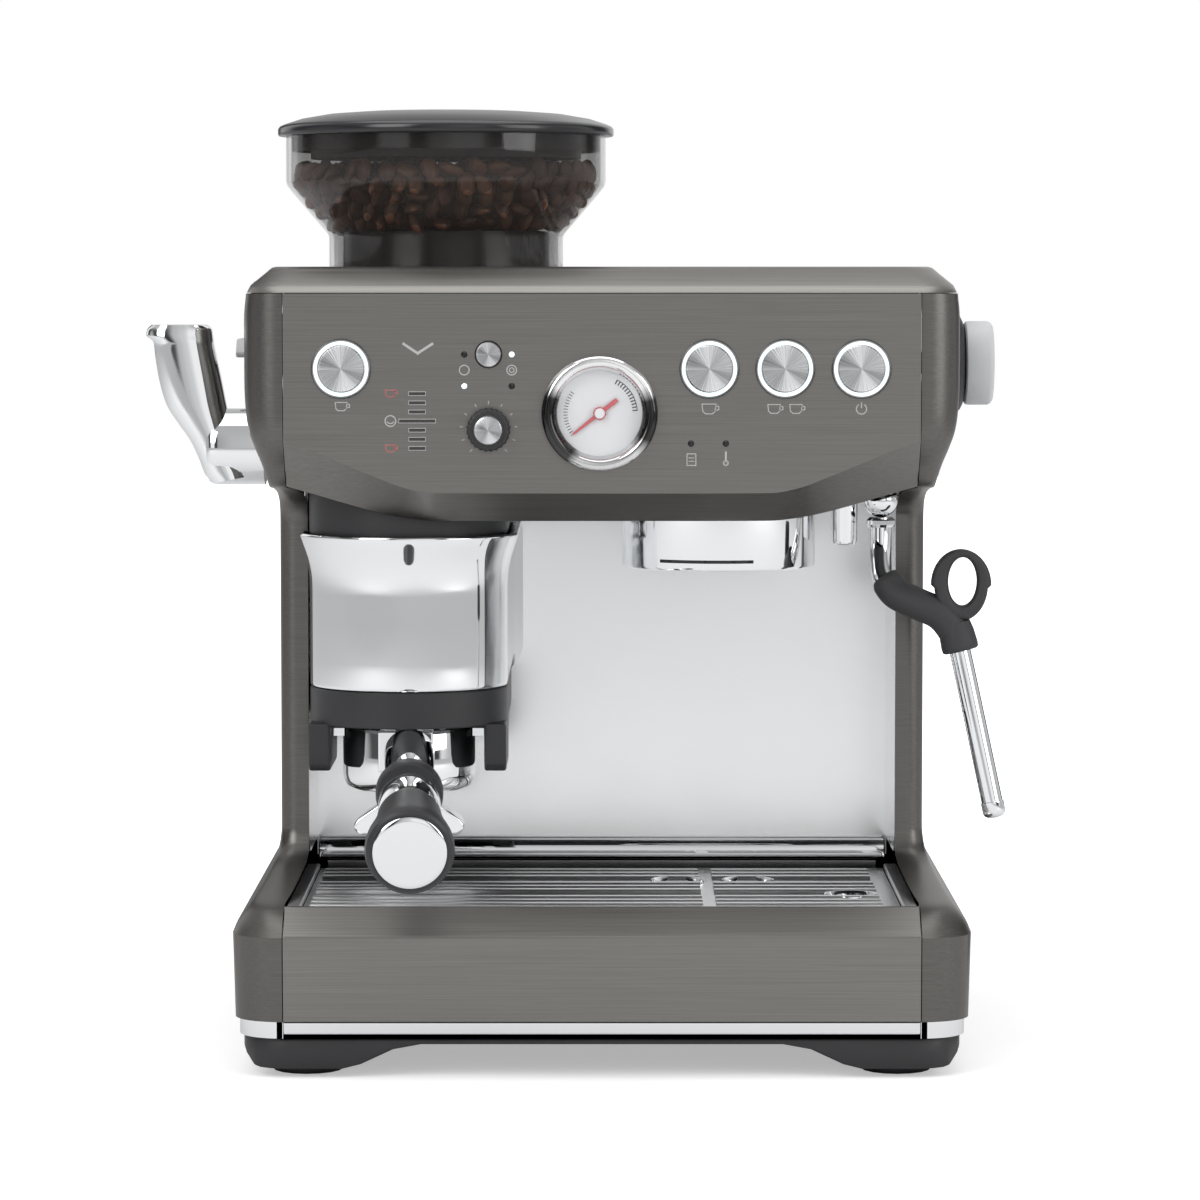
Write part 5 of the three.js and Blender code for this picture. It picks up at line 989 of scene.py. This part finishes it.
# ---- floor, light and camera
floor_mesh = bpy.data.meshes.new("floor")
floor_mesh.from_pydata([(-6, -6, 0), (6, -6, 0), (6, 6, 0), (-6, 6, 0)], [], [(0, 1, 2, 3)])
floor = bpy.data.objects.new("floor", floor_mesh)
bpy.context.scene.collection.objects.link(floor)
paper, tree, bsdf = shader("paper", (0.8, 0.8, 0.8), 0.9)
bsdf.inputs["Specular IOR Level"].default_value = 0
bsdf.inputs["Emission Color"].default_value = (1, 1, 1, 1)
place = tree.nodes.new("ShaderNodeNewGeometry")
away = node(tree, "ShaderNodeVectorMath", operation="LENGTH")
tree.links.new(place.outputs["Position"], away.inputs[0])
far = ranged(tree, away.outputs["Value"], From_Min=0.3, From_Max=1.0, To_Min=0.42, To_Max=1.1)
glow = node(tree, "ShaderNodeMath", operation="MULTIPLY")
tree.links.new(far, glow.inputs[1])
tree.links.new(seen_directly(tree), glow.inputs[0])
tree.links.new(glow.outputs[0], bsdf.inputs["Emission Strength"])
floor_mesh.materials.append(paper)

world = bpy.data.worlds.new("studio")
bpy.context.scene.world = world
world.use_nodes = True
tree = world.node_tree
way = node(tree, "ShaderNodeSeparateXYZ")
tree.links.new(tree.nodes.new("ShaderNodeTexCoord").outputs["Generated"], way.inputs[0])
# Polished metal sees upright light and dark strips from side to side, and plain grey above.
ROOM_GREY = (0.5, 0.5, 0.5)
STRIPS = ((0.05, 0.08), (0.11, 0.08), (0.15, 0.95), (0.27, 1.0), (0.31, 0.06), (0.37, 0.06), (0.43, 0.55),
    (0.5, 0.68), (0.57, 1.0), (0.72, 1.0), (0.77, 0.3), (0.82, 0.05), (0.9, 0.05), (0.94, 0.8))
across = ranged(tree, way.outputs["X"], From_Min=-1, From_Max=1)
strips = long_ramp(tree, across, [(place_at, [value] * 3) for place_at, value in STRIPS], ROOM_GREY)
strips.node.color_ramp.interpolation = "EASE"
above = ranged(tree, way.outputs["Z"], From_Min=0.35, From_Max=0.8)
room = mixed(tree, above, strips, (*ROOM_GREY, 1))
rays = tree.nodes.new("ShaderNodeLightPath")
lit = mixed(tree, rays.outputs["Is Glossy Ray"], (0.62, 0.62, 0.63, 1), room)
shown = mixed(tree, seen_directly(tree), lit, (1, 1, 1, 1))
tree.links.new(shown, tree.nodes["Background"].inputs["Color"])


def lamp(name, place, target, size, power):
    light = bpy.data.lights.new(name, "AREA")
    light.shape = "RECTANGLE"
    light.size, light.size_y = size
    light.energy = power
    made = bpy.data.objects.new(name, light)
    made.location = place
    made.rotation_euler = (Vector(target) - Vector(place)).to_track_quat("-Z", "Y").to_euler()
    bpy.context.scene.collection.objects.link(made)


lamp("key", (-1.1, -1.3, 1.2), (0, 0, 0.2), (0.9, 1.2), 13)
lamp("fill", (1.3, -0.9, 0.8), (0, 0, 0.2), (0.8, 1.1), 8)
lamp("top", (0, 0.1, 1.7), (0, 0, 0.2), (1.4, 1.4), 10)

LENS, SENSOR = 141.7, 36
CAMERA_PLACE = (-0.85, -2012, 345.5)
CAMERA_TILT = 3.94
camera_data = bpy.data.cameras.new("camera")
camera_data.lens = LENS
camera_data.sensor_width = SENSOR
camera_data.clip_end = 50
camera = bpy.data.objects.new("camera", camera_data)
camera.location = at(CAMERA_PLACE)
camera.rotation_euler = (math.radians(90 - CAMERA_TILT), 0, 0)
bpy.context.scene.collection.objects.link(camera)
bpy.context.scene.camera = camera
bpy.context.scene.view_settings.view_transform = "Standard"
